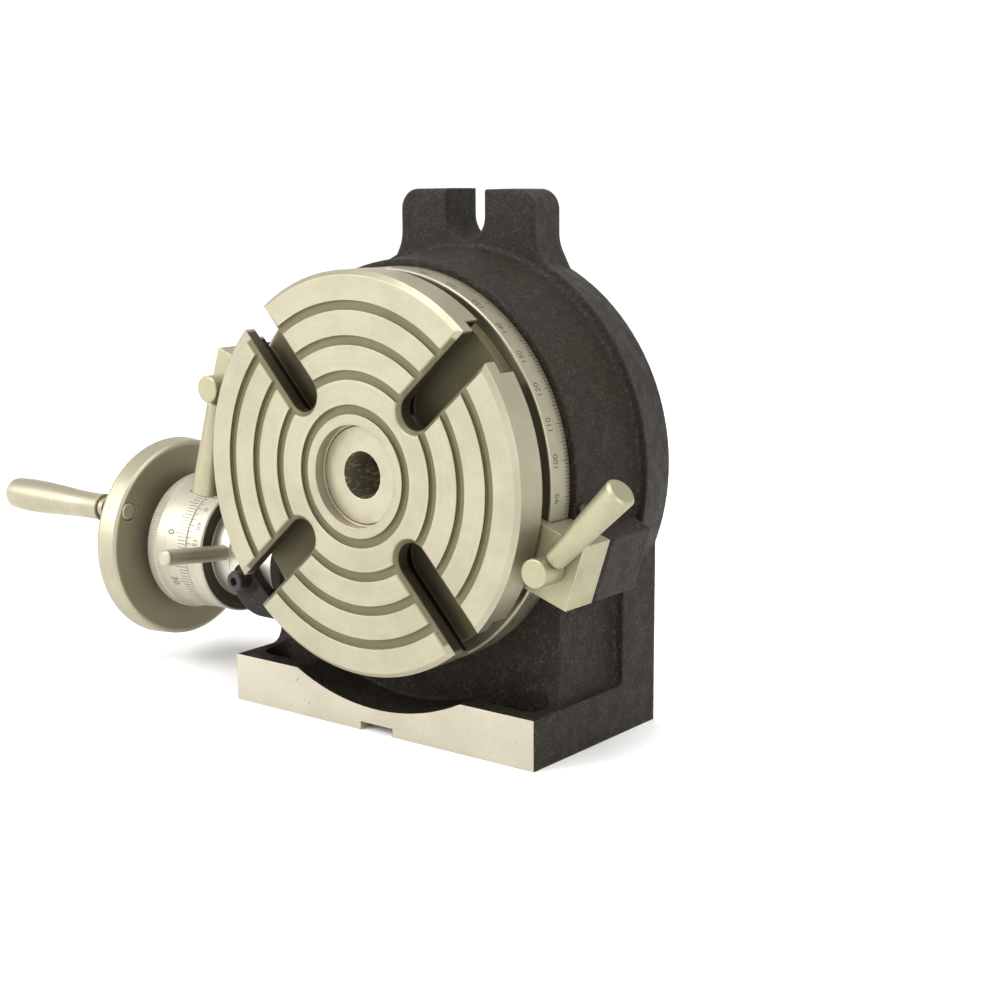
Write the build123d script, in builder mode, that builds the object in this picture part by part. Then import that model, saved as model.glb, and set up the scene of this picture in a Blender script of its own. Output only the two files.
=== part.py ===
"""Rotary table for milling work: 150 mm table, 100 mm centre height, 90:1 worm drive.

The table stands on its foot with its axis horizontal. +X is to the right, -Y is out of
the table's face and +Z is up. The origin is in the middle of the foot's underside,
under the table's axis. All sizes are in millimetres.
"""

from build123d import *
from math import atan, cos, degrees, pi, radians, sin, tan
import os

os.makedirs("parts", exist_ok=True)

# ---- table
AXIS_Z = 100.0  # height of the table's axis
TABLE_R = 75.0
FACE_Y = -49.0
DISC_BACK_Y = -34.6
RIM_FRONT_Y = -29.3  # the graduated rim, behind the clamp groove
RIM_BACK_Y = -18.0
CLAMP_GROOVE_R = 70.0
RIM_R = 74.8
TABLE_TURN = -2.5  # where the table stands at rest, in degrees
SLOT_HALF = 6.9  # T-slot for 14 mm nuts
SLOT_WIDE_HALF = 11.6
SLOT_MOUTH_DEPTH = 6.8
SLOT_DEPTH = 15.2
SLOT_CHAMFER = 1.9
SLOT_START_R = 38.5
RING_GROOVES = (24.7, 37.2, 49.8, 62.4)  # mid radius of each turned ring
RING_GROOVE_W = 3.6
RING_GROOVE_DEPTH = 1.2

# ---- spindle and centre bore
SPINDLE_R = 26.0
SPINDLE_BACK_Y = 29.9
THREAD_R = 22.0
THREAD_END_Y = 38.0
REGISTER_R = 19.1
REGISTER_DEPTH = 4.6
BUSH_R = 18.5
TAPER_MOUTH_R = 8.89  # No. 2 Morse taper
TAPER_RATE = 0.02497
TAPER_LENGTH = 64.0
DRAWBAR_R = 7.2

# ---- worm gear
MODULE = 0.88
TEETH = 90
WHEEL_PITCH_R = MODULE * TEETH / 2
WORM_PITCH_R = 7.9
LEAD = pi * MODULE
WORM_Y = -3.0
WORM_Z = AXIS_Z - WHEEL_PITCH_R - WORM_PITCH_R
THREAD_TURNS = 12
BACKLASH = 0.15
WHEEL_FRONT_Y = -11.0
WHEEL_BACK_Y = 5.0

# ---- eccentric sleeve
THROW = 2.6
THROW_ANGLE = radians(25.0)
SLEEVE_Y = WORM_Y + THROW * sin(THROW_ANGLE)
SLEEVE_Z = WORM_Z - THROW * cos(THROW_ANGLE)
NECK_R = 20.4
SHOULDER_R = 21.0
JOURNAL_R = 13.5
SLEEVE_BORE_R = 9.2
FLANK_X = 70.0
PIN_X = -96.5
PIN_RISE = 6.0  # degrees above level
PIN_LENGTH = 33.0
PIN_R = 3.3
LOCK_X = -80.5
LOCK_Z = 46.5

# ---- dial and handwheel
DIAL_X0, DIAL_X1 = -133.6, -112.2
VERNIER_X0, VERNIER_X1 = -111.8, -102.8
WHEEL_X0, WHEEL_X1 = -151.0, -138.8
HANDWHEEL_R = 43.0
HUB_R = 16.0
SHAFT_R = 6.5
HANDLE_Y = -36.3
HANDLE_Z = 69.0

# ---- base casting
FOOT_HALF_X = 74.0
FOOT_HALF_Y = 39.0
FOOT_TOP_Z = 18.9
DRUM_FRONT_Y = -17.6
PLATE_FRONT_Y = 17.2
DRUM_FRONT_R = 77.3
DRUM_BACK_R = 80.3
PLATE_FRONT_R = 84.0
PLATE_BACK_R = 80.0
CAVITY_R = 46.0
CAVITY_BACK_Y = 7.0
RECESS_Y = 30.0
RECESS_R = 37.0
EAR_TOP_Z = 202.2
EAR_FRONT_HALF = 32.7
EAR_BACK_HALF = 29.2
EAR_SLOT_R = 9.5
EAR_SLOT_Z = 192.2
KEYWAY_W = 16.0
KEYWAY_DEPTH = 3.3
FOOT_SLOT_X = 56.7
FOOT_SLOT_Y = -25.0
FOOT_SLOT_L = 25.0
FOOT_SLOT_R = 6.4

# ---- rim clamps, the right one at this angle from the table's axis, the left opposite
CLAMP_ANGLE = -18.2
CLAMP_R = 83.1
CLAMP_HALF_W = 12.5
BOSS_DEPTH = 26.0
CLAMP_OUTER = 92.6
BLOCK_FRONT_Y = -34.0
BLOCK_BACK_Y = -18.2
STUD_FRONT_Y = -46.0
STUD_R = 5.25
STUD_THREAD_R = 4.0
LEVER_Y = -39.0
LEVER_LENGTH = 44.5
LEVER_ANGLES = {"right": 44.7, "left": 257.1}

# ---- locating keys
KEY_LENGTH = 18.0
KEY_THICK = 10.0
KEY_ZS = {"lower": 34.0, "upper": 158.0}

# ---- small fastenings
WHEEL_SCREW_R = 31.5
INDEX_ANGLE = radians(-6.3)
INDEX_Y = -14.8

TABLE_AXIS = Axis((0, 0, AXIS_Z), (0, 1, 0))
WORM_AXIS = Axis((0, WORM_Y, WORM_Z), (1, 0, 0))
HANDLE_AXIS = Axis((0, HANDLE_Y, HANDLE_Z), (1, 0, 0))
TABLE_SECTION = Plane(origin=(0, 0, AXIS_Z), x_dir=(0, 1, 0), z_dir=(1, 0, 0))
WORM_SECTION = Plane(origin=(0, WORM_Y, WORM_Z), x_dir=(1, 0, 0), z_dir=(0, -1, 0))
HANDLE_SECTION = Plane(origin=(0, HANDLE_Y, HANDLE_Z), x_dir=(1, 0, 0), z_dir=(0, -1, 0))


def upright(y, x=0.0, z=0.0):
    """A plane square to the table's axis at depth y, seen from the front."""
    return Plane(origin=(x, y, z), x_dir=(1, 0, 0), z_dir=(0, -1, 0))


def across(x, y=0.0, z=0.0):
    """A plane square to X, with local x along Y and local y up."""
    return Plane(origin=(x, y, z), x_dir=(0, 1, 0), z_dir=(1, 0, 0))


def clamp_plane(y, side):
    """The upright plane at a clamp: local x runs outward from the table's axis."""
    turn = CLAMP_ANGLE if side == "right" else CLAMP_ANGLE + 180
    outward = (cos(radians(turn)), 0, sin(radians(turn)))
    return Plane(origin=(0, y, AXIS_Z), x_dir=outward, z_dir=(0, -1, 0))


def clamp_centre(side):
    turn = radians(CLAMP_ANGLE if side == "right" else CLAMP_ANGLE + 180)
    return CLAMP_R * cos(turn), AXIS_Z + CLAMP_R * sin(turn)


INDEX_OUT = Vector(cos(INDEX_ANGLE), 0, sin(INDEX_ANGLE))
INDEX_AT = Vector(0, INDEX_Y, AXIS_Z) + INDEX_OUT * (DRUM_FRONT_R + 0.45)
INDEX_PLANE = Plane(origin=INDEX_AT, x_dir=(0, 1, 0), z_dir=INDEX_OUT)
INDEX_SECTION = Plane(origin=INDEX_AT, x_dir=(0, 1, 0), z_dir=Vector(0, 1, 0).cross(INDEX_OUT))


# the lever pin stands on the sleeve's neck and points forward
PIN_OUT = Vector(0, -cos(radians(PIN_RISE)), sin(radians(PIN_RISE)))
PIN_AT = Vector(PIN_X, WORM_Y, WORM_Z) + PIN_OUT * (NECK_R - 0.08)
PIN_PLANE = Plane(origin=PIN_AT, x_dir=(1, 0, 0), z_dir=PIN_OUT)


def slot_outline(half):
    """A slot along +X from its round inner end out past the table's rim."""
    with BuildSketch() as outline:
        with Locations((SLOT_START_R, 0)):
            Circle(half)
        with Locations((SLOT_START_R + 30, 0)):
            Rectangle(60, 2 * half)
    return outline.sketch


def edge_at(edge, **place):
    """Whether the edge's middle is at the given X, Y or Z."""
    middle = edge.center()
    return all(abs(getattr(middle, name) - value) < 0.3 for name, value in place.items())


def is_boss_edge(edge):
    """An edge across the front of a clamp boss, or one along it."""
    if edge.geom_type != GeomType.LINE:
        return False
    across_front = abs(edge.length - 2 * CLAMP_HALF_W) < 0.1 and edge_at(edge, Y=DRUM_FRONT_Y)
    return across_front or abs(edge.length - (PLATE_FRONT_Y + 4 - DRUM_FRONT_Y)) < 0.1


def is_drum_corner(edge):
    """The corner between the drum and the plate behind it."""
    if edge.geom_type != GeomType.CIRCLE or not edge_at(edge, Y=PLATE_FRONT_Y):
        return False
    return abs(edge.radius - DRUM_BACK_R) < 0.2


def is_flank_line(edge):
    """An edge along a flank of the pedestal."""
    return edge.geom_type == GeomType.LINE and abs(abs(edge.center().X) - FLANK_X) < 0.3


def is_pedestal_root(edge):
    """Where the pedestal's front wall stands on the foot."""
    return edge.geom_type == GeomType.LINE and edge_at(edge, Y=DRUM_FRONT_Y, Z=FOOT_TOP_Z)


# the casting's rounded edges, in the order that they are made
CAST_CORNERS = (
    (2.5, is_boss_edge),
    (2.0, is_drum_corner),
    (8.0, is_pedestal_root),
    (3.5, lambda edge: is_flank_line(edge) and edge_at(edge, Z=FOOT_TOP_Z)),
    (2.1, lambda edge: is_flank_line(edge) and edge_at(edge, Y=PLATE_FRONT_Y)),
    (1.5, lambda edge: edge_at(edge, Y=FOOT_HALF_Y) and edge.center().Z > 70),
    (1.2, lambda edge: edge_at(edge, Y=PLATE_FRONT_Y) and edge.center().Z > 176),
)


def save(part, name):
    part.label = name
    export_step(part, f"parts/{name}.step")


# ============================================================ base casting
with BuildPart() as base_casting:
    # rear plate: a tapered disc with straight flanks and an ear on top
    with BuildSketch(upright(PLATE_FRONT_Y, z=AXIS_Z)):
        Circle(PLATE_FRONT_R)
    with BuildSketch(upright(FOOT_HALF_Y, z=AXIS_Z)):
        Circle(PLATE_BACK_R)
    loft()
    with BuildSketch(upright(PLATE_FRONT_Y)):
        with Locations((0, 35)):
            Rectangle(2 * FOOT_HALF_X, 70)
    extrude(amount=PLATE_FRONT_Y - FOOT_HALF_Y)
    for y, half in ((PLATE_FRONT_Y, EAR_FRONT_HALF), (FOOT_HALF_Y, EAR_BACK_HALF)):
        with BuildSketch(upright(y)):
            with BuildLine():
                Polyline(
                    (-half - 12, 160), (half + 12, 160), (half, 182),
                    (half, EAR_TOP_Z), (-half, EAR_TOP_Z), (-half, 182), close=True,
                )
            make_face()
            fillet(vertices().group_by(Axis.Y)[-1], 8)
            fillet(vertices().group_by(Axis.Y)[1], 16)
    loft()
    # drum that holds the gear, on its pedestal
    with BuildSketch(upright(DRUM_FRONT_Y, z=AXIS_Z)):
        Circle(DRUM_FRONT_R)
    with BuildSketch(upright(PLATE_FRONT_Y, z=AXIS_Z)):
        Circle(DRUM_BACK_R)
    loft()
    with BuildSketch(upright(DRUM_FRONT_Y)):
        with Locations((0, 40)):
            Rectangle(2 * FLANK_X, 60)
    extrude(amount=DRUM_FRONT_Y - PLATE_FRONT_Y)
    # foot
    with BuildSketch(Plane.XY):
        Rectangle(2 * FOOT_HALF_X, 2 * FOOT_HALF_Y)
    extrude(amount=FOOT_TOP_Z)
    # bosses that take the clamp studs
    for side in ("right", "left"):
        with BuildSketch(clamp_plane(DRUM_FRONT_Y, side)):
            with Locations((CLAMP_OUTER / 2 + 30, 0)):
                Rectangle(CLAMP_OUTER - 60, 2 * CLAMP_HALF_W)
        extrude(amount=-BOSS_DEPTH)
    # cradle under the eccentric sleeve
    with BuildSketch(across(-FLANK_X + 2, SLEEVE_Y, SLEEVE_Z)):
        Circle(SHOULDER_R + 4.5)
        with Locations((0, 20)):
            Rectangle(80, 43, mode=Mode.SUBTRACT)
    extrude(amount=-20)
    with BuildSketch(upright(-27.4, LOCK_X, LOCK_Z)):
        Circle(6.4)
    extrude(amount=-10)

    # cast corners and the fillets where walls meet
    for radius, is_corner in CAST_CORNERS:
        fillet(edges().filter_by(is_corner), radius)

    # cuts: room for the table's work in front of the pedestal
    with BuildSketch(upright(-FOOT_HALF_Y - 1, z=AXIS_Z)):
        Circle(90.7)
    extrude(amount=-(DRUM_FRONT_Y + FOOT_HALF_Y + 1), mode=Mode.SUBTRACT)
    # gear cavity, spindle bore and the nut's recess
    with BuildSketch(upright(DRUM_FRONT_Y, z=AXIS_Z)):
        Circle(CAVITY_R)
    extrude(amount=DRUM_FRONT_Y - CAVITY_BACK_Y, mode=Mode.SUBTRACT)
    with BuildSketch(upright(CAVITY_BACK_Y, z=AXIS_Z)):
        Circle(SPINDLE_R + 0.05)
    extrude(amount=CAVITY_BACK_Y - RECESS_Y, mode=Mode.SUBTRACT)
    with BuildSketch(upright(RECESS_Y, z=AXIS_Z)):
        Circle(RECESS_R)
    extrude(amount=RECESS_Y - FOOT_HALF_Y, mode=Mode.SUBTRACT)
    # bore for the eccentric sleeve, with the cradle's wider bore outside the flank
    with BuildSketch(across(-FLANK_X - 1, SLEEVE_Y, SLEEVE_Z)):
        Circle(JOURNAL_R + 0.05)
    extrude(amount=FLANK_X + 45, mode=Mode.SUBTRACT)
    with BuildSketch(across(-FLANK_X, SLEEVE_Y, SLEEVE_Z)):
        Circle(SHOULDER_R + 0.05)
    extrude(amount=-20, mode=Mode.SUBTRACT)
    with BuildSketch(upright(-28, LOCK_X, LOCK_Z)):
        Circle(2.55)
    extrude(amount=-14, mode=Mode.SUBTRACT)
    # slot through the ear, with its open end up, and the foot's slots and keyways
    with BuildSketch(upright(PLATE_FRONT_Y - 12)):
        with Locations((0, EAR_SLOT_Z)):
            Circle(EAR_SLOT_R)
        with Locations((0, EAR_SLOT_Z + 10)):
            Rectangle(2 * EAR_SLOT_R, 20)
    extrude(amount=-40, mode=Mode.SUBTRACT)
    with BuildSketch(upright(FOOT_HALF_Y - KEYWAY_DEPTH)):
        with Locations((0, EAR_SLOT_Z)):
            Circle(EAR_SLOT_R + 3.5)
        with Locations((0, EAR_SLOT_Z + 10)):
            Rectangle(2 * EAR_SLOT_R + 7, 20)
    extrude(amount=-KEYWAY_DEPTH, mode=Mode.SUBTRACT)
    with BuildSketch(Plane.XY):
        with Locations((FOOT_SLOT_X, FOOT_SLOT_Y), (-FOOT_SLOT_X, FOOT_SLOT_Y)):
            SlotOverall(FOOT_SLOT_L, 2 * FOOT_SLOT_R)
    extrude(amount=FOOT_TOP_Z + 4, mode=Mode.SUBTRACT)
    with BuildSketch(Plane.XY):
        Rectangle(KEYWAY_W, 2 * FOOT_HALF_Y)
    extrude(amount=KEYWAY_DEPTH, mode=Mode.SUBTRACT)
    with BuildSketch(upright(FOOT_HALF_Y - KEYWAY_DEPTH)):
        with Locations((0, EAR_TOP_Z / 2)):
            Rectangle(KEYWAY_W, EAR_TOP_Z + 2)
    extrude(amount=-KEYWAY_DEPTH, mode=Mode.SUBTRACT)
    for z in KEY_ZS.values():
        with BuildSketch(upright(FOOT_HALF_Y - KEYWAY_DEPTH, z=z)):
            Circle(3.05)
        extrude(amount=11.5, mode=Mode.SUBTRACT)
    # threaded holes for the clamp studs
    for side in ("right", "left"):
        with BuildSketch(clamp_plane(DRUM_FRONT_Y, side)):
            with Locations((CLAMP_R, 0)):
                Circle(STUD_THREAD_R + 0.05)
        extrude(amount=-24, mode=Mode.SUBTRACT)
    # hole for the zero index
    with BuildSketch(INDEX_PLANE):
        Circle(1.2)
    extrude(amount=-5, mode=Mode.SUBTRACT)
save(base_casting.part, "base_casting")

with BuildPart() as zero_index:
    with BuildSketch(INDEX_SECTION):
        with BuildLine():
            Polyline(
                (0, -4.5), (1.15, -4.5), (1.15, 0.1), (2.4, 0.1),
                (2.4, 1.0), (1.4, 1.9), (0, 1.9), close=True,
            )
        make_face()
    revolve(axis=Axis(INDEX_PLANE.origin, INDEX_PLANE.z_dir))
save(zero_index.part, "zero_index")

# ============================================================ table and spindle
with BuildPart() as table_plate:
    with BuildSketch(TABLE_SECTION):
        with BuildLine():
            Polyline(
                (FACE_Y, 0), (FACE_Y, TABLE_R - 1.8), (FACE_Y + 1.8, TABLE_R),
                (DISC_BACK_Y - 0.5, TABLE_R), (DISC_BACK_Y, TABLE_R - 0.5),
                (DISC_BACK_Y, CLAMP_GROOVE_R), (RIM_FRONT_Y, CLAMP_GROOVE_R),
                (RIM_FRONT_Y, RIM_R - 0.4), (RIM_FRONT_Y + 0.4, RIM_R),
                (RIM_BACK_Y - 0.4, RIM_R), (RIM_BACK_Y, RIM_R - 0.4),
                (RIM_BACK_Y, 36), (WHEEL_FRONT_Y, 36), (WHEEL_FRONT_Y, SPINDLE_R),
                (SPINDLE_BACK_Y, SPINDLE_R), (SPINDLE_BACK_Y, THREAD_R),
                (THREAD_END_Y, THREAD_R), (THREAD_END_Y, 0), close=True,
            )
        make_face()
    revolve(axis=TABLE_AXIS)
    # shallow register in the face, then the through bore for the taper bush
    with BuildSketch(upright(FACE_Y, z=AXIS_Z)):
        Circle(REGISTER_R)
    extrude(amount=-REGISTER_DEPTH, mode=Mode.SUBTRACT)
    with BuildSketch(upright(FACE_Y, z=AXIS_Z)):
        Circle(BUSH_R)
    extrude(amount=FACE_Y - 20, mode=Mode.SUBTRACT)
    with BuildSketch(upright(20, z=AXIS_Z)):
        Circle(14)
    extrude(amount=-20, mode=Mode.SUBTRACT)
    # turned rings on the face
    with BuildSketch(upright(FACE_Y, z=AXIS_Z)):
        for r in reversed(RING_GROOVES):
            Circle(r + RING_GROOVE_W / 2)
            Circle(r - RING_GROOVE_W / 2, mode=Mode.SUBTRACT)
    extrude(amount=-RING_GROOVE_DEPTH, mode=Mode.SUBTRACT)
    # T-slots: narrow mouth, wide undercut and a bevelled edge
    for turn in (45, 135, 225, 315):
        out = Rotation(0, 0, turn + TABLE_TURN)
        with BuildSketch(upright(FACE_Y, z=AXIS_Z)):
            add(out * slot_outline(SLOT_HALF))
        extrude(amount=-SLOT_DEPTH, mode=Mode.SUBTRACT)
        with BuildSketch(upright(FACE_Y + SLOT_MOUTH_DEPTH, z=AXIS_Z)):
            add(out * slot_outline(SLOT_WIDE_HALF))
        extrude(amount=SLOT_MOUTH_DEPTH - SLOT_DEPTH, mode=Mode.SUBTRACT)
        with BuildSketch(upright(FACE_Y, z=AXIS_Z)):
            add(out * slot_outline(SLOT_HALF + SLOT_CHAMFER))
        extrude(amount=-SLOT_CHAMFER, taper=45, mode=Mode.SUBTRACT)
    # tapped holes for the worm wheel's screws
    with BuildSketch(upright(WHEEL_FRONT_Y, z=AXIS_Z)):
        with PolarLocations(WHEEL_SCREW_R, 4):
            Circle(2.5)
    extrude(amount=9, mode=Mode.SUBTRACT)
save(table_plate.part, "table_plate")

with BuildPart() as centre_bush:
    mouth_y = FACE_Y + REGISTER_DEPTH
    taper_end_y = mouth_y + TAPER_LENGTH
    with BuildSketch(TABLE_SECTION):
        with BuildLine():
            Polyline(
                (mouth_y, TAPER_MOUTH_R), (mouth_y, BUSH_R - 0.5),
                (mouth_y + 0.45, BUSH_R - 0.05), (19.95, BUSH_R - 0.05),
                (19.95, 13.95), (THREAD_END_Y, 13.95), (THREAD_END_Y, DRAWBAR_R),
                (taper_end_y, DRAWBAR_R),
                (taper_end_y, TAPER_MOUTH_R - TAPER_RATE * TAPER_LENGTH), close=True,
            )
        make_face()
    revolve(axis=TABLE_AXIS)
save(centre_bush.part, "centre_bush")

# one tooth gap of the worm wheel, at its lowest point and leaning by the lead angle
gap_tilt = degrees(atan(LEAD / (2 * pi * WORM_PITCH_R)))
gap_half = LEAD / 4 + BACKLASH
flank = tan(radians(20))
with BuildPart(mode=Mode.PRIVATE) as tooth_gap:
    with BuildSketch(upright(0)):
        with BuildLine():
            Polyline(
                (-gap_half + 1.25 * MODULE * flank, -WHEEL_PITCH_R + 1.25 * MODULE),
                (gap_half - 1.25 * MODULE * flank, -WHEEL_PITCH_R + 1.25 * MODULE),
                (gap_half + 1.4 * MODULE * flank, -WHEEL_PITCH_R - 1.4 * MODULE),
                (-gap_half - 1.4 * MODULE * flank, -WHEEL_PITCH_R - 1.4 * MODULE), close=True,
            )
        make_face()
    extrude(amount=12, both=True)
leaning_gap = tooth_gap.part.rotate(Axis.Z, gap_tilt).moved(Location((0, WORM_Y, 0)))

with BuildPart() as worm_wheel:
    with BuildSketch(TABLE_SECTION):
        with BuildLine():
            Polyline(
                (WHEEL_FRONT_Y, SPINDLE_R + 0.02), (WHEEL_FRONT_Y, WHEEL_PITCH_R + MODULE),
                (WHEEL_BACK_Y, WHEEL_PITCH_R + MODULE), (WHEEL_BACK_Y, SPINDLE_R + 0.02), close=True,
            )
        make_face()
    revolve(axis=TABLE_AXIS)
    with Locations(Location((0, 0, AXIS_Z))):
        with Locations([Location((0, 0, 0), (0, i * 360 / TEETH, 0)) for i in range(TEETH)]):
            add(leaning_gap, mode=Mode.SUBTRACT)
    with BuildSketch(upright(WHEEL_BACK_Y, z=AXIS_Z)):
        with PolarLocations(WHEEL_SCREW_R, 4):
            Circle(2.6)
    extrude(amount=WHEEL_BACK_Y - WHEEL_FRONT_Y, mode=Mode.SUBTRACT)
    with BuildSketch(upright(WHEEL_BACK_Y, z=AXIS_Z)):
        with PolarLocations(WHEEL_SCREW_R, 4):
            Circle(4.5)
    extrude(amount=5.5, mode=Mode.SUBTRACT)
save(worm_wheel.part, "worm_wheel")

with BuildPart() as worm_wheel_screws:
    with BuildSketch(upright(WHEEL_BACK_Y - 0.4, z=AXIS_Z)):
        with PolarLocations(WHEEL_SCREW_R, 4):
            Circle(4.25)
    extrude(amount=5)
    with BuildSketch(upright(WHEEL_BACK_Y - 0.4, z=AXIS_Z)):
        with PolarLocations(WHEEL_SCREW_R, 4):
            RegularPolygon(2.3, 6)
    extrude(amount=2.5, mode=Mode.SUBTRACT)
    with BuildSketch(upright(WHEEL_BACK_Y - 5.4, z=AXIS_Z)):
        with PolarLocations(WHEEL_SCREW_R, 4):
            Circle(2.45)
    extrude(amount=18)
save(worm_wheel_screws.part, "worm_wheel_screws")

with BuildPart() as thrust_washer:
    with BuildSketch(upright(RECESS_Y + 0.3, z=AXIS_Z)):
        Circle(34)
        Circle(THREAD_R + 0.05, mode=Mode.SUBTRACT)
    extrude(amount=-2)
save(thrust_washer.part, "thrust_washer")

with BuildPart() as spindle_nut:
    with BuildSketch(upright(RECESS_Y + 2.35, z=AXIS_Z)):
        Circle(33)
        Circle(THREAD_R + 0.05, mode=Mode.SUBTRACT)
    extrude(amount=-5.6)
    chamfer(edges().filter_by(GeomType.CIRCLE).group_by(SortBy.RADIUS)[-1], 0.6)
    # spanner holes
    with BuildSketch(upright(THREAD_END_Y - 3, z=AXIS_Z)):
        with PolarLocations(27.5, 4, start_angle=45):
            Circle(2)
    extrude(amount=-4, mode=Mode.SUBTRACT)
    with BuildSketch(across(34, RECESS_Y + 5.1, AXIS_Z)):
        Circle(1.55)
    extrude(amount=-12.5, mode=Mode.SUBTRACT)
save(spindle_nut.part, "spindle_nut")

with BuildPart() as nut_lock_screw:
    with BuildSketch(across(32.5, RECESS_Y + 5.1, AXIS_Z)):
        Circle(1.5)
    extrude(amount=-8)
    with BuildSketch(across(32.5, RECESS_Y + 5.1, AXIS_Z)):
        RegularPolygon(0.85, 6)
    extrude(amount=-2, mode=Mode.SUBTRACT)
save(nut_lock_screw.part, "nut_lock_screw")

# ============================================================ eccentric sleeve
sleeve_axis = Axis((0, SLEEVE_Y, SLEEVE_Z), (1, 0, 0))
with BuildPart() as eccentric_sleeve:
    # flange and neck run true with the worm
    with BuildSketch(across(VERNIER_X0 + 1.8, WORM_Y, WORM_Z)):
        Circle(24)
    extrude(amount=VERNIER_X1 - 0.7 - VERNIER_X0 - 1.8)
    with BuildSketch(across(VERNIER_X1 - 0.7, WORM_Y, WORM_Z)):
        Circle(NECK_R)
    extrude(amount=10)
    # the rest runs true with the casting's bore
    with BuildSketch(across(VERNIER_X1 + 8, SLEEVE_Y, SLEEVE_Z)):
        Circle(SHOULDER_R)
    extrude(amount=-FLANK_X - 0.3 - VERNIER_X1 - 8)
    with BuildSketch(across(-FLANK_X - 2, SLEEVE_Y, SLEEVE_Z)):
        Circle(JOURNAL_R)
    extrude(amount=FLANK_X + 43)
    # bore for the bushes and the worm
    with BuildSketch(across(-120, WORM_Y, WORM_Z)):
        Circle(SLEEVE_BORE_R)
    extrude(amount=155, mode=Mode.SUBTRACT)
    with BuildSketch(across(30, WORM_Y, WORM_Z)):
        Circle(6.5)
    extrude(amount=20, mode=Mode.SUBTRACT)
    # window for the worm wheel, open through the sleeve's whole swing
    for swing in (0, 30, 60):
        up = (0, sin(radians(swing)), cos(radians(swing)))
        swung = Plane(sleeve_axis.position, x_dir=(1, 0, 0), z_dir=up)
        with BuildSketch(swung.offset(5)):
            Rectangle(36, 40)
        extrude(amount=20, mode=Mode.SUBTRACT)
    # seat for the lever pin
    with BuildSketch(PIN_PLANE):
        Circle(PIN_R - 0.75)
    extrude(amount=-6, mode=Mode.SUBTRACT)
save(eccentric_sleeve.part, "eccentric_sleeve")

with BuildPart() as sleeve_lever_pin:
    with BuildSketch(PIN_PLANE.offset(-5.9)):
        Circle(PIN_R - 0.8)
    extrude(amount=6.2)
    with BuildSketch(PIN_PLANE.offset(0.1)):
        Circle(PIN_R)
    extrude(amount=PIN_LENGTH)
    chamfer(faces().sort_by(Axis(PIN_PLANE.origin, PIN_PLANE.z_dir))[-1].edges(), 0.8)
save(sleeve_lever_pin.part, "sleeve_lever_pin")

with BuildPart() as vernier_ring:
    with BuildSketch(WORM_SECTION):
        with BuildLine():
            Polyline(
                (VERNIER_X0, 20), (VERNIER_X0, 26.8), (VERNIER_X1 - 0.6, 27.1),
                (VERNIER_X1, 26.5), (VERNIER_X1, 24.05), (VERNIER_X0 + 1.7, 24.05),
                (VERNIER_X0 + 1.7, 20), close=True,
            )
        make_face()
    revolve(axis=WORM_AXIS)
save(vernier_ring.part, "vernier_ring")

with BuildPart() as worm_bush_outer:
    with BuildSketch(across(-92, WORM_Y, WORM_Z)):
        Circle(SLEEVE_BORE_R - 0.02)
        Circle(SHAFT_R + 0.05, mode=Mode.SUBTRACT)
    extrude(amount=24)
save(worm_bush_outer.part, "worm_bush_outer")

with BuildPart() as worm_bush_inner:
    with BuildSketch(across(19, WORM_Y, WORM_Z)):
        Circle(SLEEVE_BORE_R - 0.02)
        Circle(6.05, mode=Mode.SUBTRACT)
    extrude(amount=15.5)
save(worm_bush_inner.part, "worm_bush_inner")

with BuildPart() as worm_retaining_nut:
    with BuildSketch(across(-108.5, WORM_Y, WORM_Z)):
        Circle(SLEEVE_BORE_R - 0.02)
        Circle(SHAFT_R + 0.15, mode=Mode.SUBTRACT)
    extrude(amount=8)
    with BuildSketch(across(-108.5, WORM_Y, WORM_Z)):
        Rectangle(2 * SLEEVE_BORE_R, 1.6)
    extrude(amount=1.5, mode=Mode.SUBTRACT)
save(worm_retaining_nut.part, "worm_retaining_nut")

with BuildPart() as worm_thrust_washer:
    with BuildSketch(across(-95, WORM_Y, WORM_Z)):
        Circle(SLEEVE_BORE_R - 0.15)
        Circle(SHAFT_R + 0.02, mode=Mode.SUBTRACT)
    extrude(amount=2.6)
save(worm_thrust_washer.part, "worm_thrust_washer")

with BuildPart() as sleeve_lock_screw:
    # cylindrical head with a hexagon socket, threaded into the cradle
    with BuildSketch(upright(-33.5, LOCK_X, LOCK_Z)):
        Circle(4)
    extrude(amount=-5.6)
    chamfer(faces().sort_by(Axis.Y)[0].edges(), 0.5)
    with BuildSketch(upright(-33.5, LOCK_X, LOCK_Z)):
        RegularPolygon(2, 6)
    extrude(amount=-2.6, mode=Mode.SUBTRACT)
    with BuildSketch(upright(-27.9, LOCK_X, LOCK_Z)):
        Circle(2.5)
    extrude(amount=-4.6)
save(sleeve_lock_screw.part, "sleeve_lock_screw")

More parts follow.
